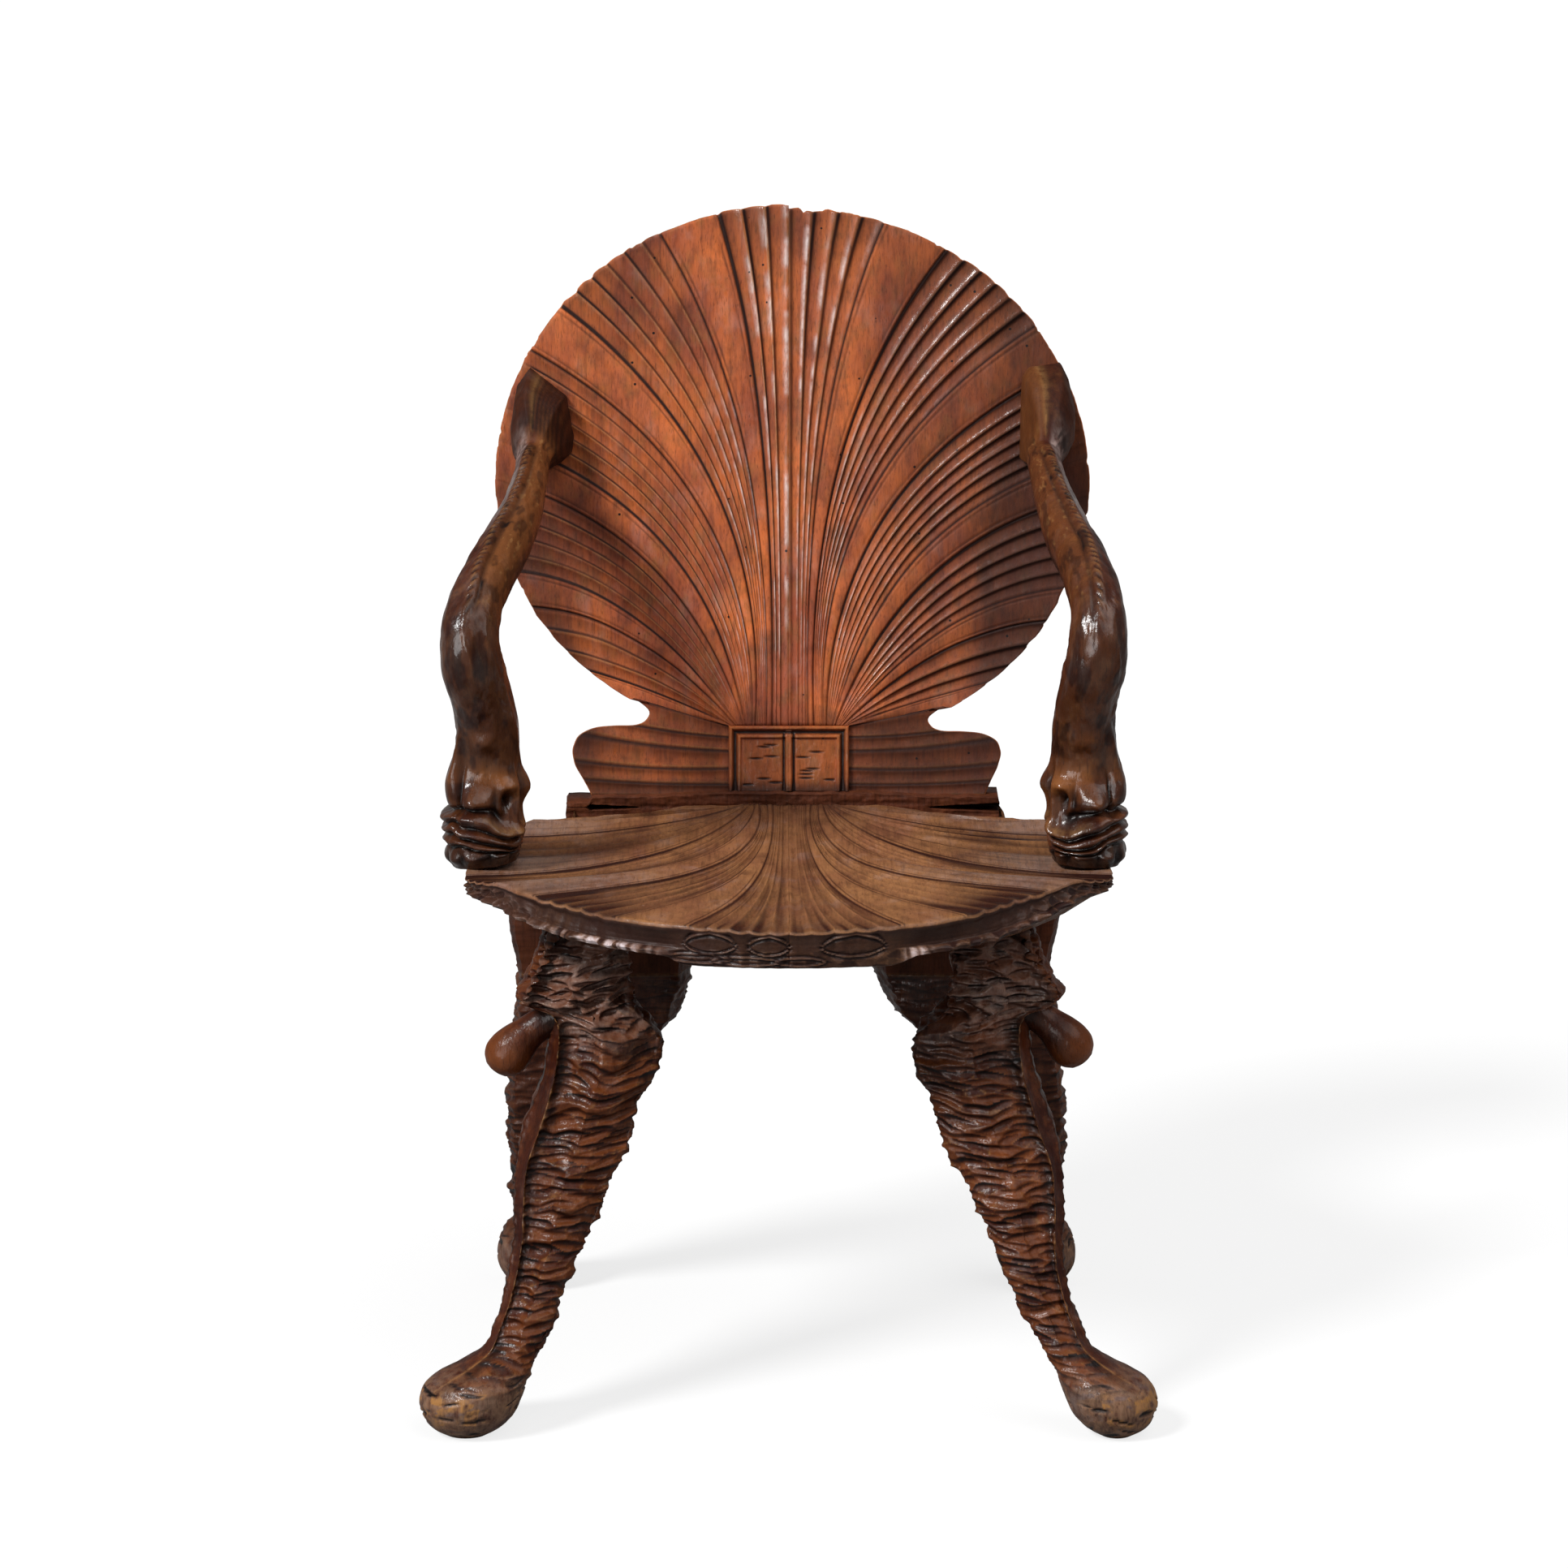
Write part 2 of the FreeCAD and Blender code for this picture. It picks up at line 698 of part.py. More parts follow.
def arm_stations():
    """Centre, tangent, half width and half depth along the dolphin, from snout to tail, on the +X side."""
    base = arm_head_place(1)
    head = arm_head_width / 2.0
    long = arm_head_length / 2.0
    body = arm_body_width / 2.0
    up = Vector(0, 0, 1)
    tail_root = back_place.multVec(Vector(arm_tail_x, arm_tail_v, tail_face_w))
    shoulder = Vector(seat_half_width - 6.0, arm_shoulder_y, seat_top_z + arm_shoulder_rise)
    neck = Vector(base.x - 3.0, arm_head_y - 8.0, seat_top_z + arm_head_height + 22.0)
    rows = [
        (base, up, head * 0.72, long * 0.76),
        (base + up * (0.22 * arm_head_height), up, head * 0.98, long),
        (base + up * (0.52 * arm_head_height), up, head, long),
        (base + up * (0.80 * arm_head_height), up, head * 0.93, long * 0.82),
        (base + Vector(-2, -6, arm_head_height), up, head * 0.80, long * 0.66),
        (neck, up, body * 0.98, body * 1.05),
        (shoulder + Vector(-6, 4, -46), Vector(0.12, -0.25, 1), body * 1.0, body * 1.05),
        (shoulder + Vector(0, 4, -8), Vector(0, 0.45, 1), body * 1.02, body * 1.05),
    ]
    reach = tail_root - shoulder
    for share, lift, side, wide, deep in (
        (0.20, 12.0, 6.0, 0.98, 1.0),
        (0.42, 9.0, 3.0, 0.90, 0.92),
        (0.66, -4.0, -2.0, 0.72, 0.80),
        (0.84, -9.0, -3.0, 0.62, 0.86),
    ):
        centre = shoulder + reach * share + Vector(side, 0, lift)
        rows.append((centre, reach, body * wide, body * deep))
    toward_back = back_axis.multVec(Vector(0, 0, -1))
    tail_neck = tail_root - toward_back * arm_tail_depth
    rows.append((tail_neck, toward_back, arm_tail_width * 0.42, arm_tail_height * 0.40))
    rows.append((tail_root, toward_back, arm_tail_width / 2.0, arm_tail_height / 2.0))
    return rows


def tail_fluke():
    """Wedge of the tail: a sharp ridge that leaves the back at the top and stands out below."""
    top = Vector(arm_tail_x, arm_tail_v + fluke_top, tail_face_w)
    inner = Vector(arm_tail_x - fluke_inner, arm_tail_v - 0.5 * fluke_foot, tail_face_w)
    outer = Vector(arm_tail_x + fluke_outer, arm_tail_v - fluke_foot, tail_face_w)
    ridge = Vector(arm_tail_x, arm_tail_v - fluke_foot, tail_face_w + fluke_depth)
    corners = [(top, inner, ridge), (top, ridge, outer), (inner, outer, ridge), (top, outer, inner)]
    fluke = solid_from_faces([Part.Face(Part.makePolygon([a, b, c, a])) for a, b, c in corners])
    fluke.Placement = back_place
    return fluke


def dolphin_arm():
    """Right arm: head let into the seat, S-shaped body and a tail that flares against the back."""
    sections = []
    for centre, tangent, half_across, half_along in arm_stations():
        direction = Vector(tangent)
        direction.normalize()
        across = Vector(1, 0, 0) - direction * direction.x
        across.normalize()
        along = direction.cross(across)
        sections.append(oval(centre, across, along, half_across, half_along))
    body = Part.makeLoft(sections, True, False)
    base = arm_head_place(1)
    head = arm_head_width / 2.0
    long = arm_head_length / 2.0
    forms = [tail_fluke()]
    for share in (0.24, 0.46):
        centre = base + Vector(0, -4.0, share * arm_head_height)
        forms.append(ellipsoid(centre, head + jaw_overhang, long + jaw_overhang, jaw_height * 0.73))
    for side in (-1, 1):
        centre = base + Vector(side * brow_spread - 2.0, -0.62 * long, 0.80 * arm_head_height)
        forms.append(ellipsoid(centre, brow_radius, brow_radius * 1.1, brow_radius * 1.2))
    fin = base + Vector(-0.94 * head, 0.25 * long, 0.64 * arm_head_height)
    forms.append(ellipsoid(fin, fin_radius * 0.4, fin_radius * 0.8, fin_radius))
    arm = body.fuse(forms).removeSplitter()
    seat_face = seat_top_z + band_rise + seating_gap
    under_head = box(-far, far, -far, far, -far, seat_face).cut(arm_housing_box(1, 0.0))
    arm = arm.cut(under_head)
    behind_tail = Part.makeBox(2 * far, 2 * far, far, Vector(-far, -far, tail_face_w - far))
    behind_tail.Placement = back_place.multiply(behind_tail.Placement)
    arm = arm.cut(behind_tail)
    arm = drilled(arm, arm_dowels(glue_clearance))
    return drilled(arm, tail_screws(glue_clearance))


def build():
    """All nodes of the chair by name."""
    seat_left = seat_half()
    back_right = back_half()
    knob = hanging_knob()
    front_leg, front_hip = leg_and_hip(
        front_stations, front_foot_x, front_foot_y, front_seam_outer_z, front_seam_inner_z, [knob]
    )
    rear_leg, rear_hip = leg_and_hip(
        rear_stations, rear_foot_x, rear_foot_y, rear_seam_outer_z, rear_seam_inner_z, []
    )
    leg_holes = leg_dowels(glue_clearance)
    hip_holes = hip_dowels(glue_clearance)
    front_leg = drilled(front_leg, leg_holes)
    rear_leg = drilled(rear_leg, leg_holes)
    front_hip = drilled(front_hip, leg_holes + hip_holes)
    rear_hip = drilled(rear_hip, leg_holes + hip_holes)
    arm = dolphin_arm()
    return {
        "seat_left_board": seat_left,
        "seat_right_board": mirrored(seat_left),
        "back_right_board": back_right,
        "back_left_board": mirrored(back_right),
        "rear_ledge": rear_ledge(),
        "front_right_leg": front_leg,
        "front_left_leg": mirrored(front_leg),
        "rear_right_leg": rear_leg,
        "rear_left_leg": mirrored(rear_leg),
        "front_right_hip_block": front_hip,
        "front_left_hip_block": mirrored(front_hip),
        "rear_right_hip_block": rear_hip,
        "rear_left_hip_block": mirrored(rear_hip),
        "right_dolphin_arm": arm,
        "left_dolphin_arm": mirrored(arm),
        "seat_joint_dowels": Part.makeCompound(joint_dowels(seat_dowel_places())),
        "back_joint_dowels": Part.makeCompound(joint_dowels(back_dowel_places())),
        "leg_dowels": Part.makeCompound(leg_dowels()),
        "hip_dowels": Part.makeCompound(hip_dowels()),
        "arm_head_dowels": Part.makeCompound(arm_dowels()),
        "arm_tail_screws": Part.makeCompound(tail_screws()),
        "ledge_screws": Part.makeCompound(ledge_screws()),
        "back_screws": Part.makeCompound(back_screws()),
    }


os.makedirs("parts", exist_ok=True)
for name, shape in build().items():
    shape.exportStep("parts/" + name + ".step")
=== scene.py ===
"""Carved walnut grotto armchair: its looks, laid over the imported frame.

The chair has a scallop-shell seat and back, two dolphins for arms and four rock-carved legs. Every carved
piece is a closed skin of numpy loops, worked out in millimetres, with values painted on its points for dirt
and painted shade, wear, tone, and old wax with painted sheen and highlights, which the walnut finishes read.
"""

import json
import logging
import math
from dataclasses import dataclass
from enum import Enum
from typing import Any, Sequence

import bpy
import numpy as np
from numpy.typing import NDArray
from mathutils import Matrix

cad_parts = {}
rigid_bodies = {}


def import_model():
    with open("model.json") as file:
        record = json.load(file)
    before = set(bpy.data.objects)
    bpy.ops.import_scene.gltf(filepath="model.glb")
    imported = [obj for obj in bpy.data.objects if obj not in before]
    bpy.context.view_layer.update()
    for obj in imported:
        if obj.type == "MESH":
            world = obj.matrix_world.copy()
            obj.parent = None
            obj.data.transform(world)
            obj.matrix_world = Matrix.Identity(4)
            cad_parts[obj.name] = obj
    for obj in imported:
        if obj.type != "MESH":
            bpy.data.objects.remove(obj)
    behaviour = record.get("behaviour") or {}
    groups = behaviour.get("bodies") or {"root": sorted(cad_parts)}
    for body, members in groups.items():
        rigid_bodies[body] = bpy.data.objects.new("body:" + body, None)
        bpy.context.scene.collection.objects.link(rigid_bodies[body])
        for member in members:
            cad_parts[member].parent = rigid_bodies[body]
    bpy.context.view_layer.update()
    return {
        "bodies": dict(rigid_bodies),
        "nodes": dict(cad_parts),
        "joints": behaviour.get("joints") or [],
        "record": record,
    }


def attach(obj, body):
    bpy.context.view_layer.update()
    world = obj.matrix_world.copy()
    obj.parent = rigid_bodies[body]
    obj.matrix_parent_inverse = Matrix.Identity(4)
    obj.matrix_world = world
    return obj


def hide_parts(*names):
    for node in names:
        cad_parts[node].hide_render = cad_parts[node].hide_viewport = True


Array = NDArray[np.float64]
Paint = dict[str, Array]
Socket = bpy.types.NodeSocket
Tree = bpy.types.NodeTree
Material = bpy.types.Material

LOG = logging.getLogger("grotto_chair")
MM = 0.001
# Painted values: dirt with painted shade, wear, tone, wax bloom with painted sheen, and rubbed wax.
DIRT_AND_SHADE, WORN, TONE, BLOOM_AND_SHEEN, DULL = "shade", "worn", "tone", "bloom", "dull"
PAINTS = (DIRT_AND_SHADE, WORN, TONE, BLOOM_AND_SHEEN, DULL)

# Whole numbers that stir the lattice hash: for the seed, for each axis, for its mixing rounds, and its masks.
SEED_STEP, SEED_START = 7919, 101
AXIS_PRIMES = (73856093, 19349663, 83492791)
MIXER, ROUNDS, LAST_SHIFT = 1274126177, (15, 13), 16
WORD, VALUE = 0xFFFFFFFF, 0xFFFFFF


class Side(Enum):
    """Left and right as seen from the front, with the sign of X."""

    LEFT = -1
    RIGHT = 1

    @property
    def word(self) -> str:
        """The side's word in node names."""
        return self.name.lower()


def held(value: Array | float) -> Array:
    """Value kept between 0 and 1."""
    return np.clip(value, 0, 1)


def ease(value: Array | float) -> Array:
    """Smooth step from 0 to 1 over the values 0 to 1."""
    kept = held(value)
    return kept * kept * (3 - 2 * kept)


def ramp(value: Array, start: float, span: float) -> Array:
    """Smooth step from 0 at the start to 1 a span further on; a span below zero runs downwards."""
    return ease((value - start) / span)


def bell(value: Array, width: float) -> Array:
    """Bell curve of the value, 1 at zero and a third at one width."""
    return np.exp(-((value / width) ** 2))


def scatter(seed: int, *cells: Array) -> Array:
    """Hash an integer lattice to even values.

    Args:
        seed: number that sets this lattice apart.
        cells: up to three arrays of whole cell numbers.

    Returns:
        One value from 0 to 1 for each cell.
    """
    mixed = np.full(np.broadcast(*cells).shape, seed * SEED_STEP + SEED_START, dtype=np.int64)
    for cell, prime in zip(cells, AXIS_PRIMES):
        mixed = mixed ^ (np.asarray(cell).astype(np.int64) * prime)
    for shift in ROUNDS:
        mixed = mixed & WORD
        mixed = ((mixed ^ (mixed >> shift)) * MIXER) & WORD
    return ((mixed ^ (mixed >> LAST_SHIFT)) & VALUE) / VALUE


def noise(seed: int, x: Array, y: Array | float = 0.0, z: Array | float = 0.0) -> Array:
    """Smooth value noise with one lattice cell to each unit.

    Args:
        seed: number that sets this noise apart.
        x: first coordinate.
        y: second coordinate.
        z: third coordinate.

    Returns:
        Values from -1 to 1.
    """
    spots = np.broadcast_arrays(x, y, z)
    cells = [np.floor(spot) for spot in spots]
    blends = [ease(spot - cell) for spot, cell in zip(spots, cells)]
    total = np.zeros(spots[0].shape)
    for corner in range(8):
        steps = (corner & 1, corner >> 1 & 1, corner >> 2)
        weight = np.ones(spots[0].shape)
        for blend, step in zip(blends, steps):
            weight = weight * (blend if step else 1 - blend)
        total += weight * scatter(seed, *[cell + step for cell, step in zip(cells, steps)])
    return 2 * total - 1


def rough(seed: int, x: Array, y: Array | float = 0.0, z: Array | float = 0.0, octaves: int = 3) -> Array:
    """Sum of noises, each twice as fine and half as strong as the last."""
    total = sum(noise(seed + k, x * 2**k, y * 2**k, z * 2**k) / 2**k for k in range(octaves))
    return np.asarray(total) / (2 - 0.5 ** (octaves - 1))


def through(keys: Array, values: Array, where: Array) -> Array:
    """Smooth curve through given stations.

    Each span is a cubic whose end slopes come from the neighbouring stations.

    Args:
        keys: rising station positions.
        values: one row of values for each station.
        where: positions to read.

    Returns:
        One row of values for each position.
    """
    slopes = np.gradient(values, keys, axis=0)
    span = np.clip(np.searchsorted(keys, where, side="right") - 1, 0, len(keys) - 2)
    width = (keys[span + 1] - keys[span])[..., None]
    part = ((where - keys[span])[..., None]) / width
    first, last = values[span], values[span + 1]
    rise, fall = slopes[span] * width, slopes[span + 1] * width
    return (
        (2 * part**3 - 3 * part**2 + 1) * first
        + (part**3 - 2 * part**2 + part) * rise
        + (3 * part**2 - 2 * part**3) * last
        + (part**3 - part**2) * fall
    )


def run_along(points: Array) -> Array:
    """Distance run along a line of points, from its first point to each."""
    return np.cumsum(np.linalg.norm(np.diff(points, axis=0, prepend=points[:1]), axis=1))


def unit(vectors: Array) -> Array:
    """Vectors of length one along the last axis; vanishing ones stay short."""
    return vectors / np.maximum(np.linalg.norm(vectors, axis=-1, keepdims=True), 1e-6)


def dome(place: Array) -> Array:
    """Parabola over the places 0 to 1, with 1 in the middle and 0 at both ends."""
    return 1 - (2 * place - 1) ** 2


@dataclass(frozen=True)
class Gouging:
    """A face worked all over with a gouge, as overlapping shallow scoops on a jittered lattice."""

    pitch_u: float  # spacing of the scoops across, in mm
    pitch_v: float  # spacing of the scoops along, in mm
    length: float  # half length of a scoop across, in mm
    height: float  # half height of a scoop along, in mm
    depth: float  # deepest cut, in mm
    lean: float  # largest slope of a scoop's long axis
    skew: float = 0.0  # how much deeper a scoop runs towards its upper end, which leaves an overhang there

    # Shares of the depth: the face left between scoops, the shallowest scoop, and the width of an arris.
    UNCUT = -0.25
    SHALLOW = 0.35
    ARRIS = 0.14

    def cut(self, u: Array, v: Array, seed: int) -> tuple[Array, Array, Array, Array]:
        """Depth of the deepest scoop at each point: a parabolic bowl about each jittered centre.

        Args:
            u: distance across the face, in mm.
            v: distance along the face, in mm.
            seed: first of this face's seeds.

        Returns:
            Depth in mm, nearness to an arris from 0 to 1, the scoop's own tone from 0 to 1, and the place in
            the scoop from -1 at its foot to 1 at its head.
        """
        cell_u, cell_v = np.floor(u / self.pitch_u), np.floor(v / self.pitch_v)
        best = np.full(u.shape, self.UNCUT * self.depth)
        second = best - self.depth
        tone = np.full(u.shape, 0.5)
        place = np.zeros(u.shape)
        for step_u in (-1, 0, 1):
            for step_v in (-2, -1, 0, 1, 2):
                cell = cell_u + step_u, cell_v + step_v
                across = u - (cell[0] + scatter(seed, *cell)) * self.pitch_u
                along = v - (cell[1] + scatter(seed + 1, *cell)) * self.pitch_v
                lean = self.lean * (2 * scatter(seed + 2, *cell) - 1)
                deep = self.depth * (self.SHALLOW + (1 - self.SHALLOW) * scatter(seed + 3, *cell))
                bowl = ((across + lean * along) / self.length) ** 2
                bowl = bowl + ((along - lean * across) / self.height) ** 2
                level = np.clip((along - lean * across) / self.height, -1, 1)
                hollow = deep * (1 + self.skew * level) - self.depth * bowl
                wins = hollow > best
                second = np.where(wins, best, np.maximum(second, hollow))
                tone = np.where(wins, scatter(seed + 4, *cell), tone)
                place = np.where(wins, level, place)
                best = np.maximum(best, hollow)
        return best, np.exp(-(best - second) / (self.ARRIS * self.depth)), tone, place


@dataclass
class Skin:
    """A closed mesh in millimetres with painted values on its points."""

    points: Array  # one row of X, Y, Z for each vertex
    quads: NDArray[np.int64]  # one row of four vertex numbers for each smooth face
    caps: list[NDArray[np.int64]]  # vertex numbers of each flat end face
    paint: Paint  # one value of each kind for each vertex

    @classmethod
    def from_loops(cls, loops: Array, paint: Paint) -> "Skin":
        """Bridge a stack of closed loops and cap both ends.

        Args:
            loops: X, Y, Z of each point, by loop and by place in the loop.
            paint: values by loop and by place; missing kinds are zero.

        Returns:
            The closed skin, its faces turned outwards.
        """
        count, size = loops.shape[:2]
        index = np.arange(count * size).reshape(count, size)
        ahead = np.roll(index, -1, axis=1)
        quads = np.stack([index[:-1], ahead[:-1], ahead[1:], index[1:]], axis=-1).reshape(-1, 4)
        caps = [index[0][::-1], index[-1]]
        points = loops.reshape(-1, 3)
        values = {k: np.broadcast_to(paint.get(k, 0), (count, size)).reshape(-1) for k in PAINTS}
        corners = points[quads]
        first, second = corners[:, 2] - corners[:, 0], corners[:, 3] - corners[:, 1]
        if np.sum(np.cross(first, second) * (corners.mean(axis=1) - points.mean(axis=0))) < 0:
            quads, caps = quads[:, ::-1], [cap[::-1] for cap in caps]
        return cls(points, quads, caps, values)

    @classmethod
    def joined(cls, skins: Sequence["Skin"]) -> "Skin":
        """Put several closed skins into one mesh.

        Args:
            skins: the skins.

        Returns:
            All of them as one.
        """
        starts = np.cumsum([0] + [len(skin.points) for skin in skins])[:-1]
        return cls(
            np.concatenate([skin.points for skin in skins]),
            np.concatenate([skin.quads + start for skin, start in zip(skins, starts)]),
            [cap + start for skin, start in zip(skins, starts) for cap in skin.caps],
            {kind: np.concatenate([skin.paint[kind] for skin in skins]) for kind in PAINTS},
        )

    def to_object(self, name: str) -> bpy.types.Object:
        """Make the Blender object, in metres, at the origin.

        Args:
            name: name of the piece.

        Returns:
            The new object, linked to the scene.
        """
        mesh = bpy.data.meshes.new(name)
        corners = np.concatenate([self.quads.reshape(-1), *self.caps])
        sizes = np.array([4] * len(self.quads) + [len(cap) for cap in self.caps])
        mesh.vertices.add(len(self.points))
        mesh.vertices.foreach_set("co", (self.points * MM).astype(np.float32).reshape(-1))
        mesh.loops.add(len(corners))
        mesh.loops.foreach_set("vertex_index", corners.astype(np.int32))
        mesh.polygons.add(len(sizes))
        mesh.polygons.foreach_set("loop_start", (np.cumsum(sizes) - sizes).astype(np.int32))
        mesh.update(calc_edges=True)
        mesh.polygons.foreach_set("use_smooth", sizes == 4)
        for kind, values in self.paint.items():
            layer = mesh.attributes.new(kind, "FLOAT", "POINT")
            layer.data.foreach_set("value", values.astype(np.float32))
        mesh.validate()
        piece = bpy.data.objects.new(name, mesh)
        bpy.context.scene.collection.objects.link(piece)
        LOG.info("%s: %d points, %d faces", name, len(self.points), len(sizes))
        return piece


def colour(code: str) -> tuple[float, float, float, float]:
    """Turn an sRGB hex code into a linear colour with full alpha.

    Args:
        code: a hash sign and six hex digits.

    Returns:
        Red, green, blue and alpha.
    """
    parts = [int(code[k : k + 2], 16) / 255.0 for k in (1, 3, 5)]
    red, green, blue = [p / 12.92 if p <= 0.04045 else ((p + 0.055) / 1.055) ** 2.4 for p in parts]
    return red, green, blue, 1.0


def add_node(
    tree: Tree,
    kind: str,
    settings: dict[str, Any] | None = None,
    inputs: dict[Any, Any] | None = None,
) -> bpy.types.Node:
    """Add one shader node.

    Args:
        tree: tree that the node goes into.
        kind: type name of the node.
        settings: properties of the node.
        inputs: for each socket, a value or the output socket that feeds it.

    Returns:
        The new node.
    """
    node = tree.nodes.new(kind)
    for key, value in (settings or {}).items():
        setattr(node, key, value)
    for key, value in (inputs or {}).items():
        if isinstance(value, Socket):
            tree.links.new(value, node.inputs[key])
        else:
            node.inputs[key].default_value = value
    return node


def empty_tree(owner: Material | bpy.types.World) -> Tree:
    """Clear a material or world of its default nodes.

    Args:
        owner: the material or world.

    Returns:
        Its empty node tree.
    """
    owner.use_nodes = True
    owner.node_tree.nodes.clear()
    return owner.node_tree


def reckon(tree: Tree, operation: str, *values: Any) -> Socket:
    """Result of one Math node on values or sockets."""
    return add_node(tree, "ShaderNodeMath", {"operation": operation}, dict(enumerate(values))).outputs[0]


def remap(tree: Tree, value: Socket, span: tuple[float, float], target: tuple[float, float]) -> Socket:
    """Stretch the span of a value over a target range, held at both ends."""
    limits = dict(zip(("From Min", "From Max", "To Min", "To Max"), span + target))
    return add_node(tree, "ShaderNodeMapRange", {}, {"Value": value, **limits}).outputs[0]


def painted(tree: Tree, kind: str) -> Socket:
    """One of the values painted on a piece's points."""
    return add_node(tree, "ShaderNodeAttribute", {"attribute_name": kind}).outputs["Fac"]


def overlaid(tree: Tree, share: Socket, under: Any, over: Any) -> Socket:
    """Lay one colour over another by a share from 0 to 1."""
    # Sockets 6 and 7 are the two colours of a colour mix, and its third output is the result.
    sockets = {"Factor": share, 6: under, 7: over}
    return add_node(tree, "ShaderNodeMix", {"data_type": "RGBA"}, sockets).outputs[2]


@dataclass(frozen=True)
class Layer:
    """One colour laid over those before it."""

    hue: str  # sRGB code of the colour
    grain: str  # name of the noise that breaks it up
    low: float  # noise value at which the colour starts; a range below zero covers evenly
    high: float  # noise value at which it covers fully
    cover: float  # its fullest cover
    paint: str = ""  # painted value that holds it to its places, if any


@dataclass(frozen=True)
class Walnut:
    """Old waxed walnut, carved and rubbed.

    Clouds of two browns, long grain streaks and short pores give the eye its wood; painted dirt and shade,
    worn gold edges, hazy old wax and painted sheen give it its age.
    """

    name: str  # what the wood is and where it is
    base: str  # brown of the open face
    cloud: str  # brown of the large patches
    dark: str  # dirt in hollows and pores, and painted shade
    worn: str  # rubbed edges
    warm: str  # amber of the handled faces
    haze_and_sheen: str  # old wax that has bloomed, and painted sheen, glints and reflections
    gloss: float = 0.42  # roughness of the waxed face
    coat: float = 0.3  # weight of the wax film where it is whole
    lustre: float = 0.18  # specular level of the wood under the wax
    chatter: float = 0.5  # how rough the tool has left the face
    # Turn in degrees about X, Y, Z that lays the Z grain along the piece.
    turn: tuple[float, float, float] = (0.0, 0.0, 0.0)
    wormed: float = 0.0  # share of worm holes, none at 0

    # Noises: name, size across and along the grain in metres, detail. Pores are drawn at twice their real
    # width so that they still show from the camera.
    GRAINS = (
        ("cloud", 0.045, 0.120, 3.0),
        ("figure", 0.014, 0.022, 5.0),
        ("stain", 0.026, 0.034, 5.0),
        ("streak", 0.0026, 0.070, 4.0),
        ("pore", 0.0011, 0.014, 1.0),
        ("dirt", 0.006, 0.012, 3.0),
    )
    # Worm holes: spacing of the lattice in metres, colour, and the edge of a hole in shares of the spacing.
    WORM_SPACING = 0.016
    WORM_HOLE = "#140a07"
    WORM_EDGE = (0.085, 0.06)
    # Height of the tool marks in metres, roughness of the wax film, and what is added where it is rubbed off.
    TOOL_MARK = 0.0006
    FILM_GLOSS = 0.13
    DULLED = 0.2

    def layers(self) -> tuple[Layer, ...]:
        """The colours over the base, from the lowest up."""
        return (
            Layer(self.cloud, "cloud", 0.38, 0.62, 1.0),
            Layer(self.warm, "figure", 0.50, 0.72, 0.55),
            Layer(self.dark, "stain", 0.52, 0.72, 0.50),
            Layer(self.dark, "streak", 0.45, 0.70, 0.40),
            Layer(self.haze_and_sheen, "stain", 0.46, 0.26, 0.10),
            # Old wax bloom and painted sheen, glints and reflections, where that value is painted.
            Layer(self.haze_and_sheen, "dirt", 0.25, 0.65, 1.0, BLOOM_AND_SHEEN),
            Layer(self.warm, "dirt", -1.0, 0.0, 1.0, TONE),
            Layer(self.worn, "dirt", 0.30, 0.55, 1.0, WORN),
            # Dirt and painted shade, where that value is painted.
            Layer(self.dark, "dirt", -0.2, 0.3, 1.0, DIRT_AND_SHADE),
            Layer(self.dark, "pore", 0.60, 0.74, 0.40),
        )

    def grains(self, tree: Tree, place: Socket) -> dict[str, Socket]:
        """Draw the wood's noises out along its grain.

        Args:
            tree: tree of the material.
            place: place on the piece.

        Returns:
            Each noise by its name.
        """
        turn = [math.radians(angle) for angle in self.turn]
        turned = add_node(tree, "ShaderNodeMapping", {}, {"Vector": place, "Rotation": turn}).outputs[0]
        grains = {}
        for name, across, along, detail in self.GRAINS:
            scale = (1.0 / across, 1.0 / across, 1.0 / along)
            drawn = add_node(tree, "ShaderNodeMapping", {}, {"Vector": turned, "Scale": scale}).outputs[0]
            inputs = {"Vector": drawn, "Scale": 1.0, "Detail": detail, "Roughness": 0.6}
            grains[name] = add_node(tree, "ShaderNodeTexNoise", {}, inputs).outputs["Fac"]
        return grains

    def worm_holes(self, tree: Tree, place: Socket) -> Socket:
        """Scatter worm holes: a small disc in a chosen few cells of a lattice.

        Args:
            tree: tree of the material.
            place: place on the piece.

        Returns:
            Share of hole.
        """
        cells = {"Vector": place, "Scale": 1.0 / self.WORM_SPACING}
        worm = add_node(tree, "ShaderNodeTexVoronoi", {"feature": "F1"}, cells)
        disc = remap(tree, worm.outputs["Distance"], self.WORM_EDGE, (0.0, 1.0))
        chance = add_node(tree, "ShaderNodeSeparateColor", {}, {0: worm.outputs["Color"]}).outputs[0]
        return reckon(tree, "MULTIPLY", disc, reckon(tree, "GREATER_THAN", chance, 1.0 - self.wormed))

    def tint(self, tree: Tree, place: Socket, grains: dict[str, Socket]) -> Socket:
        """Lay all the colours, each over those before it, and the worm holes.

        Args:
            tree: tree of the material.
            place: place on the piece.
            grains: the wood's noises.

        Returns:
            The mixed colour.
        """
        tint: Any = colour(self.base)
        for layer in self.layers():
            cover = remap(tree, grains[layer.grain], (layer.low, layer.high), (0.0, layer.cover))
            if layer.paint:
                cover = reckon(tree, "MULTIPLY", cover, painted(tree, layer.paint))
            tint = overlaid(tree, cover, tint, colour(layer.hue))
        if self.wormed:
            tint = overlaid(tree, self.worm_holes(tree, place), tint, colour(self.WORM_HOLE))
        return tint

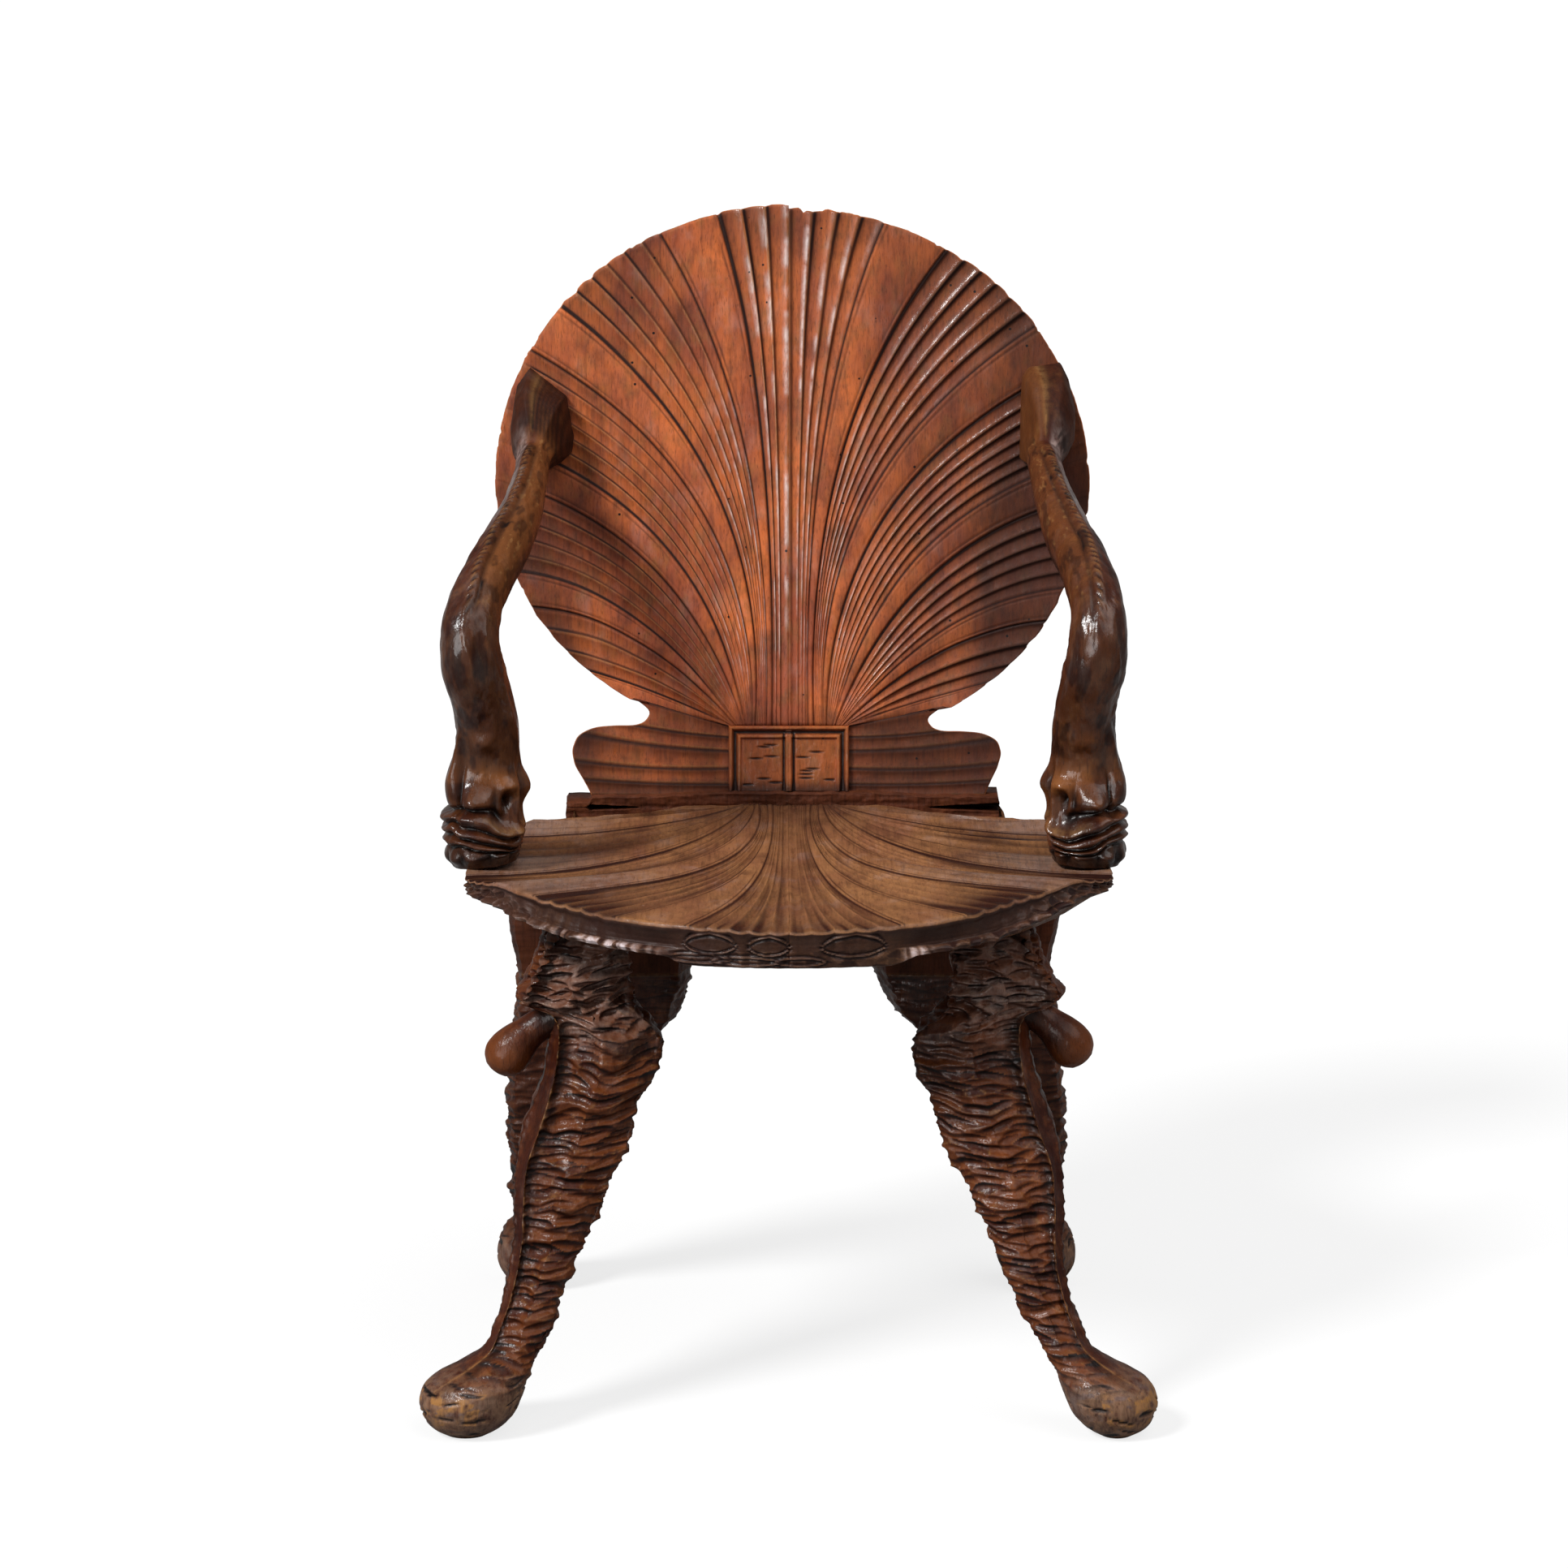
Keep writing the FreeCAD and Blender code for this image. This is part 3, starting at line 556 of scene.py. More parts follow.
    def build(self) -> Material:
        """Make the node material.

        Returns:
            The finished material.
        """
        material = bpy.data.materials.new(self.name)
        tree = empty_tree(material)
        place = add_node(tree, "ShaderNodeTexCoord").outputs["Object"]
        grains = self.grains(tree, place)
        relief = reckon(tree, "MULTIPLY_ADD", grains["dirt"], 4.0 * self.chatter, grains["streak"])
        height = {"Strength": 0.4, "Distance": self.TOOL_MARK, "Height": relief}
        bump = add_node(tree, "ShaderNodeBump", {}, height).outputs[0]
        rubbed = painted(tree, DULL)
        gloss = remap(tree, grains["dirt"], (0.3, 0.7), (self.gloss - 0.08, self.gloss + 0.14))
        gloss = reckon(tree, "MULTIPLY_ADD", rubbed, self.DULLED, gloss)
        film = remap(tree, grains["figure"], (0.38, 0.6), (0.2 * self.coat, self.coat))
        film = reckon(tree, "MULTIPLY", film, reckon(tree, "SUBTRACT", 1.0, rubbed))
        looks = {
            "Base Color": self.tint(tree, place, grains),
            "Roughness": gloss,
            "Normal": bump,
            "Specular IOR Level": self.lustre,
            "Coat Weight": film,
            "Coat Roughness": self.FILM_GLOSS,
            "Coat Normal": bump,
        }
        surface = add_node(tree, "ShaderNodeBsdfPrincipled", {}, looks)
        add_node(tree, "ShaderNodeOutputMaterial", {}, {"Surface": surface.outputs[0]})
        return material


@dataclass(frozen=True)
class Plain:
    """Turned beech or brushed steel for the hidden dowels and screws.

    Fine lines along or round the pin give the eye its grain or its brushing.
    """

    name: str  # what the stuff is
    light: str  # its lighter colour
    deep: str  # its deeper colour
    line: float  # spacing of the lines in metres
    metal: float  # 1 for metal, 0 for wood
    gloss: float  # roughness

    def build(self) -> Material:
        """Make the node material.

        Returns:
            The finished material.
        """
        material = bpy.data.materials.new(self.name)
        tree = empty_tree(material)
        place = add_node(tree, "ShaderNodeTexCoord").outputs["Object"]
        lines = {"Vector": place, "Scale": 1.0 / self.line, "Detail": 2.0}
        grain = add_node(tree, "ShaderNodeTexNoise", {}, lines).outputs["Fac"]
        tint = overlaid(tree, grain, colour(self.light), colour(self.deep))
        looks = {"Base Color": tint, "Roughness": self.gloss, "Metallic": self.metal}
        surface = add_node(tree, "ShaderNodeBsdfPrincipled", {}, looks).outputs[0]
        add_node(tree, "ShaderNodeOutputMaterial", {}, {"Surface": surface})
        return material


@dataclass(frozen=True)
class FanPlan:
    """Plan of a scallop fan: curved lines from a short hinge out to an oval rim."""

    half_width: float  # half width of the rim
    widest: float  # distance from the hinge's origin to the rim's widest line
    far_reach: float  # from the widest line to the rim's far end
    near_reach: float  # from the widest line to the near end of the same oval
    hinge_half: float  # half length of the hinge
    hinge: float  # distance of the hinge from its origin
    hollow: float  # depth of the dish between hinge and rim
    counts: tuple[int, ...]  # flutes in each strip from the middle outwards, 0 for a flat band
    angles: tuple[float, ...]  # rim angle at which each strip ends, in degrees from the middle
    flute_depth: float  # deepest flute
    line: float  # depth of the incised borders
    gold: float  # wear on the arrises, from 0 to 1
    seed: int  # first of this fan's seeds
    # 1 or -1 where each flute steps down at its inner or outer arris and rises from there, like lapped
    # boards; 0 for even flutes.
    lap: int = 0
    streak: float = 0.0  # strength of the dark streaks along the lines
    per_band: int = 24  # lines of the grid on each flat band

    # Lines of the grid on each flute, and how they crowd towards the step of a lapped one.
    PER_FLUTE = 10
    CROWDING = 1.8

    def columns(self) -> tuple[Array, Array, Array, Array]:
        """Place the lines of the grid across the fan.

        Returns:
            For each line its rim angle in degrees, its place from 0 to 1 in its flute or band, the number of
            that flute or band, and 1 where it is fluted.
        """
        angles, places, strips, fluted = [], [], [], []
        start = 0
        for count, stop in zip(self.counts, self.angles):
            for part in range(max(count, 1)):
                size = self.PER_FLUTE if count else self.per_band
                place = np.arange(size) / size
                if not count:
                    place = 0.5 - 0.5 * np.cos(np.pi * place)
                elif self.lap > 0:
                    place = 0.5 * (place + place**self.CROWDING)
                elif self.lap < 0:
                    place = 0.5 * (1 + place - (1 - place) ** self.CROWDING)
                angles.append(start + (stop - start) * (part + place) / max(count, 1))
                strips.append(np.full(size, len(places)))
                places.append(place)
                fluted.append(np.full(size, 1 if count else 0))
            start = stop
        angles.append(np.array([start]))
        places.append(np.array([1]))
        strips.append(strips[-1][-1:])
        fluted.append(fluted[-1][-1:])
        return tuple(np.concatenate(part) for part in (angles, places, strips, fluted))

    def trace(self, angle: Array, along: Array) -> Array:
        """Follow the fan's lines: each is a quadratic curve from hinge to knee to rim.

        Args:
            angle: rim angle in degrees.
            along: place on the line, 0 at the hinge and 1 at the rim.

        Returns:
            Distance across and distance out, in a last axis of two.
        """
        turn = np.radians(angle)
        last = self.angles[-1]
        reach = np.where(angle <= 90, self.far_reach, self.near_reach)
        rim = np.stack([self.half_width * np.sin(turn), self.widest + reach * np.cos(turn)], axis=-1)
        root_u = self.hinge_half * np.clip(angle / last, 0, None) ** 0.55
        root = np.stack([root_u, np.full_like(root_u, self.hinge)], axis=-1)
        spread = ramp(angle, 45, 80)
        settle = ease((angle - 0.8 * last) / (0.2 * last))
        share = np.stack([-0.1 + 0.6 * spread, 0.62 + 0.33 * spread - 0.45 * settle], axis=-1)
        knee = root + share * (rim - root)
        t = along[..., None]
        return (1 - t) ** 2 * root + 2 * t * (1 - t) * knee + t**2 * rim

    def carve(self, rows: int) -> tuple[Array, Array, Paint]:
        """Work the fan's face: a dish, with parabolic flutes, incised borders and flat bands.

        Args:
            rows: steps from hinge to rim.

        Returns:
            Places across and out, heights, and the paint, all by line and by step.
        """
        angle, place, strip, fluted = self.columns()
        along = np.tile(np.linspace(0, 1, rows), (len(angle), 1))
        wander = 0.35 * noise(self.seed, angle[:, None] / 5, along * 4) * np.sin(np.pi * along)
        wander = wander * ease(angle[:, None] / 3)
        plan = self.trace(angle[:, None] + wander, along)
        across = np.cumsum(np.linalg.norm(np.diff(plan, axis=0, prepend=plan[:1]), axis=2), axis=0)
        starts = np.searchsorted(strip, np.unique(strip))
        stops = np.append(starts[1:], len(strip) - 1)
        width = (across[stops] - across[starts])[strip.astype(int)]
        crown = dome(place)[:, None]
        rise = (place if self.lap >= 0 else 1 - place)[:, None]
        trough = 0.75 * ease(rise / 0.24) * (1 - rise) ** 0.8 + 0.45 * crown if self.lap else crown
        grooved = fluted[:, None]
        own = scatter(self.seed + 1, strip)[:, None]
        deep = np.minimum(self.flute_depth, 0.26 * width) * (0.75 + 0.5 * own)
        height = -2 * along * (1 - along) * self.hollow - grooved * deep * trough
        height += (1 - grooved) * 0.5 * crown
        edge = np.full(along.shape, np.inf)
        for line in np.flatnonzero(np.diff(fluted)) + 1:
            edge = np.minimum(edge, np.abs(across - across[line]))
        incised = bell(edge, 1.1) * np.clip(width / 9, 0.25, 1)
        second = bell(edge - 4.2, 0.7) * (1 - grooved) * ramp(width, 14, 10)
        height = height - self.line * (incised + 0.4 * second)
        height += 0.25 * rough(self.seed + 2, plan[..., 0] / 9, plan[..., 1] / 30)
        # Painted shade in each flute: in its hollow middle, or for a lapped flute at the foot of its step,
        # fading up its slope; and more of it towards the rim.
        flute_shadow = 0.25 * crown
        if self.lap:
            flute_shadow = (0.4 + 0.42 * own) * bell(rise - 0.1, 0.08) + 0.25 * (1 - rise) ** 2 + 0.1
        tip_shadow = 0.4 * ramp(along, 0.8, 0.2) * (0.4 + 0.6 * own)
        streaks = ramp(rough(self.seed + 3, angle[:, None] / 1.1, along * 3, octaves=2), 0.1, 0.5)
        streaks = self.streak * streaks * ramp(along, 0.03, 0.2) * (0.5 + 0.5 * grooved)
        # Dirt and painted shade: painted shade in the incised borders and the flutes, and dark streaks of the
        # wood along the lines.
        grime_and_shadow = incised + 0.6 * second + grooved * (flute_shadow * ease(along * 3) + tip_shadow) + streaks
        arris = np.maximum(bell(place, 0.07), bell(1 - place, 0.07))[:, None] * grooved
        # Painted sheen: a pale broken streak along the crest of each flute, where the wax is also left
        # glossy.
        crest = grooved * ramp(rise, 0.68, 0.14) * ease(along * 4)
        broken = ramp(rough(self.seed + 4, strip[:, None] * 5.3, along * 15), -0.2, 0.4)
        paint = {
            DIRT_AND_SHADE: held(grime_and_shadow),
            WORN: self.gold * arris * (1 - incised) * ease(along * 6) * (0.3 + 0.7 * own),
            TONE: np.zeros(along.shape),
            BLOOM_AND_SHEEN: crest * broken,
            DULL: 1 - crest * (0.4 + 0.6 * broken),
        }
        return plan, height, paint


def stacked(parts: Sequence[Paint]) -> Paint:
    """Join paints along their second axis."""
    return {kind: np.concatenate([part[kind] for part in parts], axis=1) for kind in PAINTS}


def flat_paint(shape: tuple[int, int], shade: Array | float, worn: Array | float = 0.0) -> Paint:
    """Paint a patch with dirt and painted shade, and with wear.

    Args:
        shape: lines and steps of the patch.
        shade: dirt and painted shade.
        worn: wear.

    Returns:
        The paint, its other kinds zero.
    """
    paint = {kind: np.zeros(shape) for kind in PAINTS}
    paint[DIRT_AND_SHADE] = np.broadcast_to(shade, shape).astype(float)
    paint[WORN] = np.broadcast_to(worn, shape).astype(float)
    return paint


@dataclass(frozen=True)
class ShellBack:
    """Scallop-shell back in two boards, with lobes and a framed tablet at its foot. Sizes in mm."""

    foot_y: float = 180.0  # Y of the back's foot on the rear ledge
    foot_z: float = 437.0  # Z of the back's foot
    tilt: float = 9.81  # backward lean in degrees
    thickness: float = 23.0  # thickness of the boards
    tablet_half: float = 50.0  # half width of the tablet
    tablet_top: float = 56.0  # height of the tablet
    bar: float = 3.6  # width of a raised bar of its frame
    bar_rise: float = 2.2  # height of the bars
    foot_lap: float = 4.0  # how far the lobes reach down over the rail
    rows: int = 150  # steps from hinge to rim

    # Outline of the lobe from the foot up round the notch: share of the tablet's height, across, up.
    LOBE = (
        (0.00, 168, 0), (0.16, 173.5, 13), (0.39, 180, 28), (0.54, 181.5, 40), (0.63, 177, 49),
        (0.70, 166, 54), (0.77, 150, 55.5), (0.84, 131, 56), (0.90, 122, 60.5), (0.95, 120, 68),
        (1.00, 133, 78.5),
    )
    # Shares of the tablet's height at which the lobe's grooves start.
    GROOVES = (0, 0.16, 0.39, 0.64, 0.84, 1)
    LINES_PER_GROOVE = 14
    # Factor on the heights of each lobe.
    STRETCH = {Side.LEFT: 1.02, Side.RIGHT: 0.93}
    # Rounding of the rim: share of the thickness, and millimetres outwards.
    RIM = ((0.04, 0.7), (0.12, 1), (0.3, 1), (0.55, 0.9), (0.8, 0.7), (0.93, 0.2))
    REAR_LINES = 24
    # The fans of the two boards, whose strips differ a little.
    FANS = {
        Side.LEFT: FanPlan(
            half_width=251, widest=266, far_reach=234, near_reach=223, hinge_half=51.2, hinge=56,
            hollow=6, counts=(3, 0, 6, 0, 6, 0, 5, 0, 3, 0), flute_depth=3.3, line=1.9, gold=0.6, seed=30,
            angles=(14, 26, 50.8, 61.6, 81.5, 89.9, 110.4, 119, 137, 147), lap=-1,
        ),
        Side.RIGHT: FanPlan(
            half_width=257, widest=263, far_reach=234.5, near_reach=228, hinge_half=51.2, hinge=56,
            hollow=6, counts=(4, 0, 6, 0, 6, 0, 5, 0, 3, 0), flute_depth=2.9, line=1.9, gold=0.55, seed=32,
            angles=(18.4, 31.5, 55, 65.4, 84.5, 92.7, 113, 121, 138, 147), lap=1,
        ),
    }
    # Gouge nicks on each half of the tablet: how many, their half length and half width.
    NICKS = 7
    NICK_LENGTH = 7.0
    NICK_WIDTH = 0.9

    def rim_bulge(self, side: Side, smooth: Array) -> Array:
        """How far the rim stands out at each line: scallops and nicks, and the right board's broken top.

        Args:
            side: which board.
            smooth: share of the rim that is left plain, by line.

        Returns:
            Millimetres outwards, by line.
        """
        fan = self.FANS[side]
        angle, place, _, fluted = fan.columns()
        nicks = ease(2 * noise(fan.seed + 6, angle / 1.4) - 1)
        bulge = 1.3 * fluted * dome(place) * (1 - smooth)
        bulge += 0.7 * rough(fan.seed + 5, angle / 2.2) - 1.2 * nicks
        if side is Side.RIGHT:
            bulge = bulge - 2.8 * bell(angle - 2.6, 0.35)
            bulge = bulge - 2 * ease((angle - 2.6) * 4) * ease((7 - angle) * 3)
        return bulge * ease(angle)

    def place(self, side: Side, u: Array, v: Array, w: Array) -> Array:
        """Lean the board's own places back by its tilt, and set them on its foot.

        Args:
            side: which board.
            u: distance across.
            v: distance up the board.
            w: distance out of it.

        Returns:
            World places, in a last axis of three.
        """
        lean = math.radians(self.tilt)
        y = self.foot_y + v * math.sin(lean) - w * math.cos(lean)
        z = self.foot_z + v * math.cos(lean) + w * math.sin(lean)
        return np.stack([side.value * u, y, z], axis=-1)

    def gloom(self, side: Side, plan: Array) -> Array:
        """Darkening of the lower sides, the right edge and the foot of the back.

        Args:
            side: which board.
            plan: places across and up.

        Returns:
            Share of darkening from 0 to 1 at each place.
        """
        across, up = plan[..., 0], plan[..., 1]
        right = 0.5 + 0.5 * side.value
        low = (0.58 - 0.1 * right) * ramp(across, 125, 85) * ramp(up, 330, -140)
        edge = right * (0.44 * ramp(across, 20, 90) + 0.33 * ramp(across, 140, 60))
        foot = (0.48 + 0.04 * right) * ramp(up, 75, -20) + 0.5 * ramp(up, 16, -16)
        return np.clip(low + edge + foot, 0, 0.85)

    def polish(self, side: Side, plan: Array) -> tuple[Array, Array]:
        """Share of the painted sheen of the flutes, and of the wax rubbed off.

        Args:
            side: which board.
            plan: places across and up.

        Returns:
            Both shares from 0 to 1 at each place: the painted sheen is strongest on the middle flutes, and
                the wax is
            thin on the left, at the lower sides and at the foot.
        """
        across, up = plan[..., 0], plan[..., 1]
        right = 0.5 + 0.5 * side.value
        middle = ramp(across, 75, -35)
        upper = right * ramp(across, 200, -60) * ramp(up, 270, 100)
        bloom = held(0.05 + 0.75 * middle + 0.3 * upper)
        sides = (0.8 - 0.32 * right) * ramp(across, 45, 50)
        low = 0.4 * ramp(up, 340, -120) * ramp(across, 60, 60) + 0.6 * ramp(up, 60, -15)
        return bloom, np.clip(sides + low, 0, 0.95)

    def lobe(self, seed: int, stretch: float) -> tuple[Array, Array, Paint]:
        """Lower panel and lobe: straight lines from the tablet's side to the lobe's outline.

        Args:
            seed: first of this lobe's seeds.
            stretch: factor on the lobe's heights.

        Returns:
            Places across and up, heights, and the paint, by line and by step.
        """
        steps = np.arange(self.LINES_PER_GROOVE)
        spans = zip(self.GROOVES[:-1], self.GROOVES[1:])
        parts = [start + (stop - start) * steps / self.LINES_PER_GROOVE for start, stop in spans]
        share = np.concatenate(parts + [np.ones(1)])[::-1]
        keys = np.array([row[0] for row in self.LOBE])
        outer = through(keys, np.array([row[1:] for row in self.LOBE]), share)
        inner = np.stack([self.tablet_half + 1.2 * share, self.tablet_top * share], axis=-1)
        outer[:, 0] = outer[:, 0] + 50 * (stretch - 0.93) * bell(share - 0.36, 0.3)
        outer[:, 1] = outer[:, 1] * stretch - self.foot_lap * (1 - share)
        inner[:, 1] = inner[:, 1] - self.foot_lap * (1 - share)
        along = np.linspace(0, 1, self.rows)[None, :, None]
        sag = -3 * np.sin(np.pi * along[..., 0]) * np.sin(np.pi * share)[:, None]
        plan = inner[:, None] + (outer - inner)[:, None] * along
        plan[..., 1] += sag
        marks = np.array(self.GROOVES)
        band = np.clip(np.searchsorted(marks, share, side="right") - 1, 0, len(marks) - 2)
        within = (share - marks[band]) / (marks[band + 1] - marks[band])
        nearest = np.minimum(within, 1 - within)[:, None]
        line = bell(nearest, 0.075)
        hill = dome(within)[:, None]
        height = -1.2 - 1.6 * hill - 1.3 * line + 0.3 * rough(seed, plan[..., 0] / 20, plan[..., 1] / 6)
        golden = bell(within - 0.12, 0.05)[:, None] * np.ones_like(height)
        darker_part = 0.45 * ramp(within, 0.45, 0.5)[:, None]
        # Dirt and painted shade in the grooves between the bands; each band is darker over its second half.
        paint = flat_paint(height.shape, held(0.95 * line + darker_part), 0.6 * golden)
        paint[DULL] += 0.8
        return plan, height, paint

    def face(self, side: Side) -> tuple[Array, Array, Array, Paint]:
        """Fan and lobe as one face, its rim pushed out by scallops and nicks.

        Args:
            side: which board.

        Returns:
            Places across and up, directions outwards at the rim, heights, and the paint, by line and by step.
        """
        plan, height, paint = self.FANS[side].carve(self.rows)
        lobe_plan, lobe_height, lobe_paint = self.lobe(71 + side.value, self.STRETCH[side])
        lobe_height[0] = height[-1]
        across, up = plan[..., 0], plan[..., 1]
        plain = ramp(across, 217, 9) * ramp(up, 225, 25) * ramp(up, 380, -20)
        height = height * (1 - 0.85 * plain) - 0.6 * plain
        for kind in (DIRT_AND_SHADE, WORN, BLOOM_AND_SHEEN):
            paint[kind] = paint[kind] * (1 - 0.75 * plain)
        bulge = np.concatenate([self.rim_bulge(side, plain[:, -1]), np.zeros(len(lobe_plan))])
        plan = np.concatenate([plan, lobe_plan])
        height = np.concatenate([height, lobe_height])
        paint = {kind: np.concatenate([paint[kind], lobe_paint[kind]]) for kind in PAINTS}
        outward = unit(plan[:, -1] - plan[:, -5])
        along = np.linspace(0, 1, self.rows)[None, :]
        shift = bulge[:, None] * ramp(along, 0.9, 0.1) - 0.9 * ramp(along, 0.97, 0.03)
        return plan + outward[:, None] * shift[..., None], outward, height, paint

    def board(self, side: Side) -> Skin:
        """One board: the face, a rounded rim and a plain reverse, line by line.

        Args:
            side: which board.

        Returns:
            The closed skin.
        """
        plan, outward, height, paint = self.face(side)
        drops, pushes = np.array(self.RIM).T
        wall = plan[:, -1:] + outward[:, None] * pushes[None, :, None]
        wall_height = height[:, -1:] - (height[:, -1:] + self.thickness) * drops[None, :]
        rear = plan[:, np.linspace(self.rows - 1, 0, self.REAR_LINES).round().astype(int)]
        rear_height = 0.5 * rough(self.FANS[side].seed + 9, rear[..., 0] / 40, rear[..., 1] / 90)
        spots = np.hstack([plan, wall, rear])
        heights = np.hstack([height, wall_height, rear_height - self.thickness])
        paint[DIRT_AND_SHADE] = held(1 - (1 - paint[DIRT_AND_SHADE]) * (1 - self.gloom(side, plan)))
        # Painted sheen on the middle flutes and the upper right group; the wax is dulled where it is rubbed.
        bloom, rubbed = self.polish(side, plan)
        paint[BLOOM_AND_SHEEN] = 0.03 + 0.97 * paint[BLOOM_AND_SHEEN] * bloom
        paint[DULL] = 1 - (1 - paint[DULL]) * (1 - rubbed)
        worn = 0.5 * bell(drops - drops[0], 0.06)[None, :]
        wall_paint = flat_paint(wall_height.shape, 0.45 - worn, worn)
        paint = stacked([paint, wall_paint, flat_paint(rear_height.shape, 0.5)])
        paint[DULL][:, self.rows :] = 0.8
        return Skin.from_loops(self.place(side, spots[..., 0], spots[..., 1], heights), paint)

    def tablet(self, side: Side) -> Skin:
        """Half of the tablet: a double raised frame round two sunk panels with short gouge nicks.

        Args:
            side: which half.

        Returns:
            The closed skin.
        """
        half = self.tablet_half + 1.5
        u, v = np.meshgrid(np.linspace(0, half, 120), np.linspace(0, self.tablet_top, 130), indexing="ij")
        margin = np.minimum(half - u, self.tablet_top - v)

        def bar_at(low: float) -> Array:
            """Rounded raised bar that starts this far inside the margin."""
            return ease((margin - low) / 0.9) * ease((low + self.bar - margin) / 0.9)

        frame = np.maximum(bar_at(0), bar_at(2 * self.bar))
        frame = np.maximum(frame, ramp(u, 3, -0.9) * (margin > self.bar))
        groove = bell(u - 4.2, 1.1) * ramp(margin, self.bar, 2)
        groove = np.maximum(bell(margin - 1.5 * self.bar, 1.6), groove)
        nicks = np.zeros(frame.shape)
        numbers = np.arange(self.NICKS)
        middles_u = 9 + 28 * scatter(91 + side.value, numbers, np.full(self.NICKS, 1))
        middles_v = 4 + 36 * scatter(95 + side.value, numbers, np.full(self.NICKS, 2))
        for middle_u, middle_v in zip(middles_u, middles_v):
            taper = held(1 - ((u - middle_u) / self.NICK_LENGTH) ** 2)
            nicks = np.maximum(nicks, taper * bell(v - middle_v, self.NICK_WIDTH))
        inside = ease((margin - 3.2 * self.bar) / 1.5) * ramp(u, 5, 1.5)
        height = 0.6 + self.bar_rise * frame - 1.6 * groove - 1.2 * nicks * inside
        height += 0.2 * rough(97, u / 5, v / 4)
        # Dirt and painted shade in the grooves and nicks, and darker towards the tablet's foot.
        shade = 0.3 + 0.9 * groove + 0.8 * nicks * inside + 0.6 * ramp(v, 14, -14)
        front = self.place(side, u, v, height)
        rear = self.place(side, u, v, np.full_like(height, -self.thickness))[:, [-1, 0]]
        front_paint = flat_paint(u.shape, held(shade), 0.2 * frame)
        front_paint[TONE] = 0.25 * inside
        paint = stacked([front_paint, flat_paint(rear.shape[:2], 0.2)])
        paint[DULL] += 0.7
        return Skin.from_loops(np.hstack([front, rear]), paint)

    def dress(self, finish: Material) -> None:
        """Build both boards in place of their nodes.

        Args:
            finish: their material.
        """
        for side in Side:
            skin = Skin.joined([self.board(side), self.tablet(side)])
            show(skin, f"shell_back_{side.word}", f"back_{side.word}_board", finish)


def show(skin: Skin, name: str, node: str, finish: Material) -> None:
    """Make a piece stand for a node of the frame.

    Args:
        skin: the piece's mesh.
        name: name of the piece.
        node: node that it replaces.
        finish: its material.
    """
    piece = skin.to_object(name)
    piece.data.materials.append(finish)
    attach(piece, "root")
    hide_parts(node)


@dataclass
class SeatTop:
    """Top of one seat board, by line of the fan."""

    plan: Array  # places across and forward, also by step from hinge to rim
    outward: Array  # direction outwards at the rim
    height: Array  # height above the rim's usual level, also by step
    paint: Paint  # the fan's own paint, also by step
    angle: Array  # rim angle in degrees
    fluted: Array  # 1 where the line is fluted
    lift: Array  # how far the front rim is raised
    inset: Array  # how far the front rim is drawn in


@dataclass
class SeatWall:
    """Edge of one seat board below its rim, by line of the fan and by step down."""

    push: Array  # how far it stands out from the rim
    drop: Array  # how far it lies below the rim
    stone: Array  # share of rocky carving
    arris: Array  # nearness to an arris between two scoops
    tone: Array  # the scoop's own tone
    carved: Array  # share of the apron's carving
    bead: Array  # nearness to the outline of an oval
    ring: Array  # nearness to the grooves beside that outline


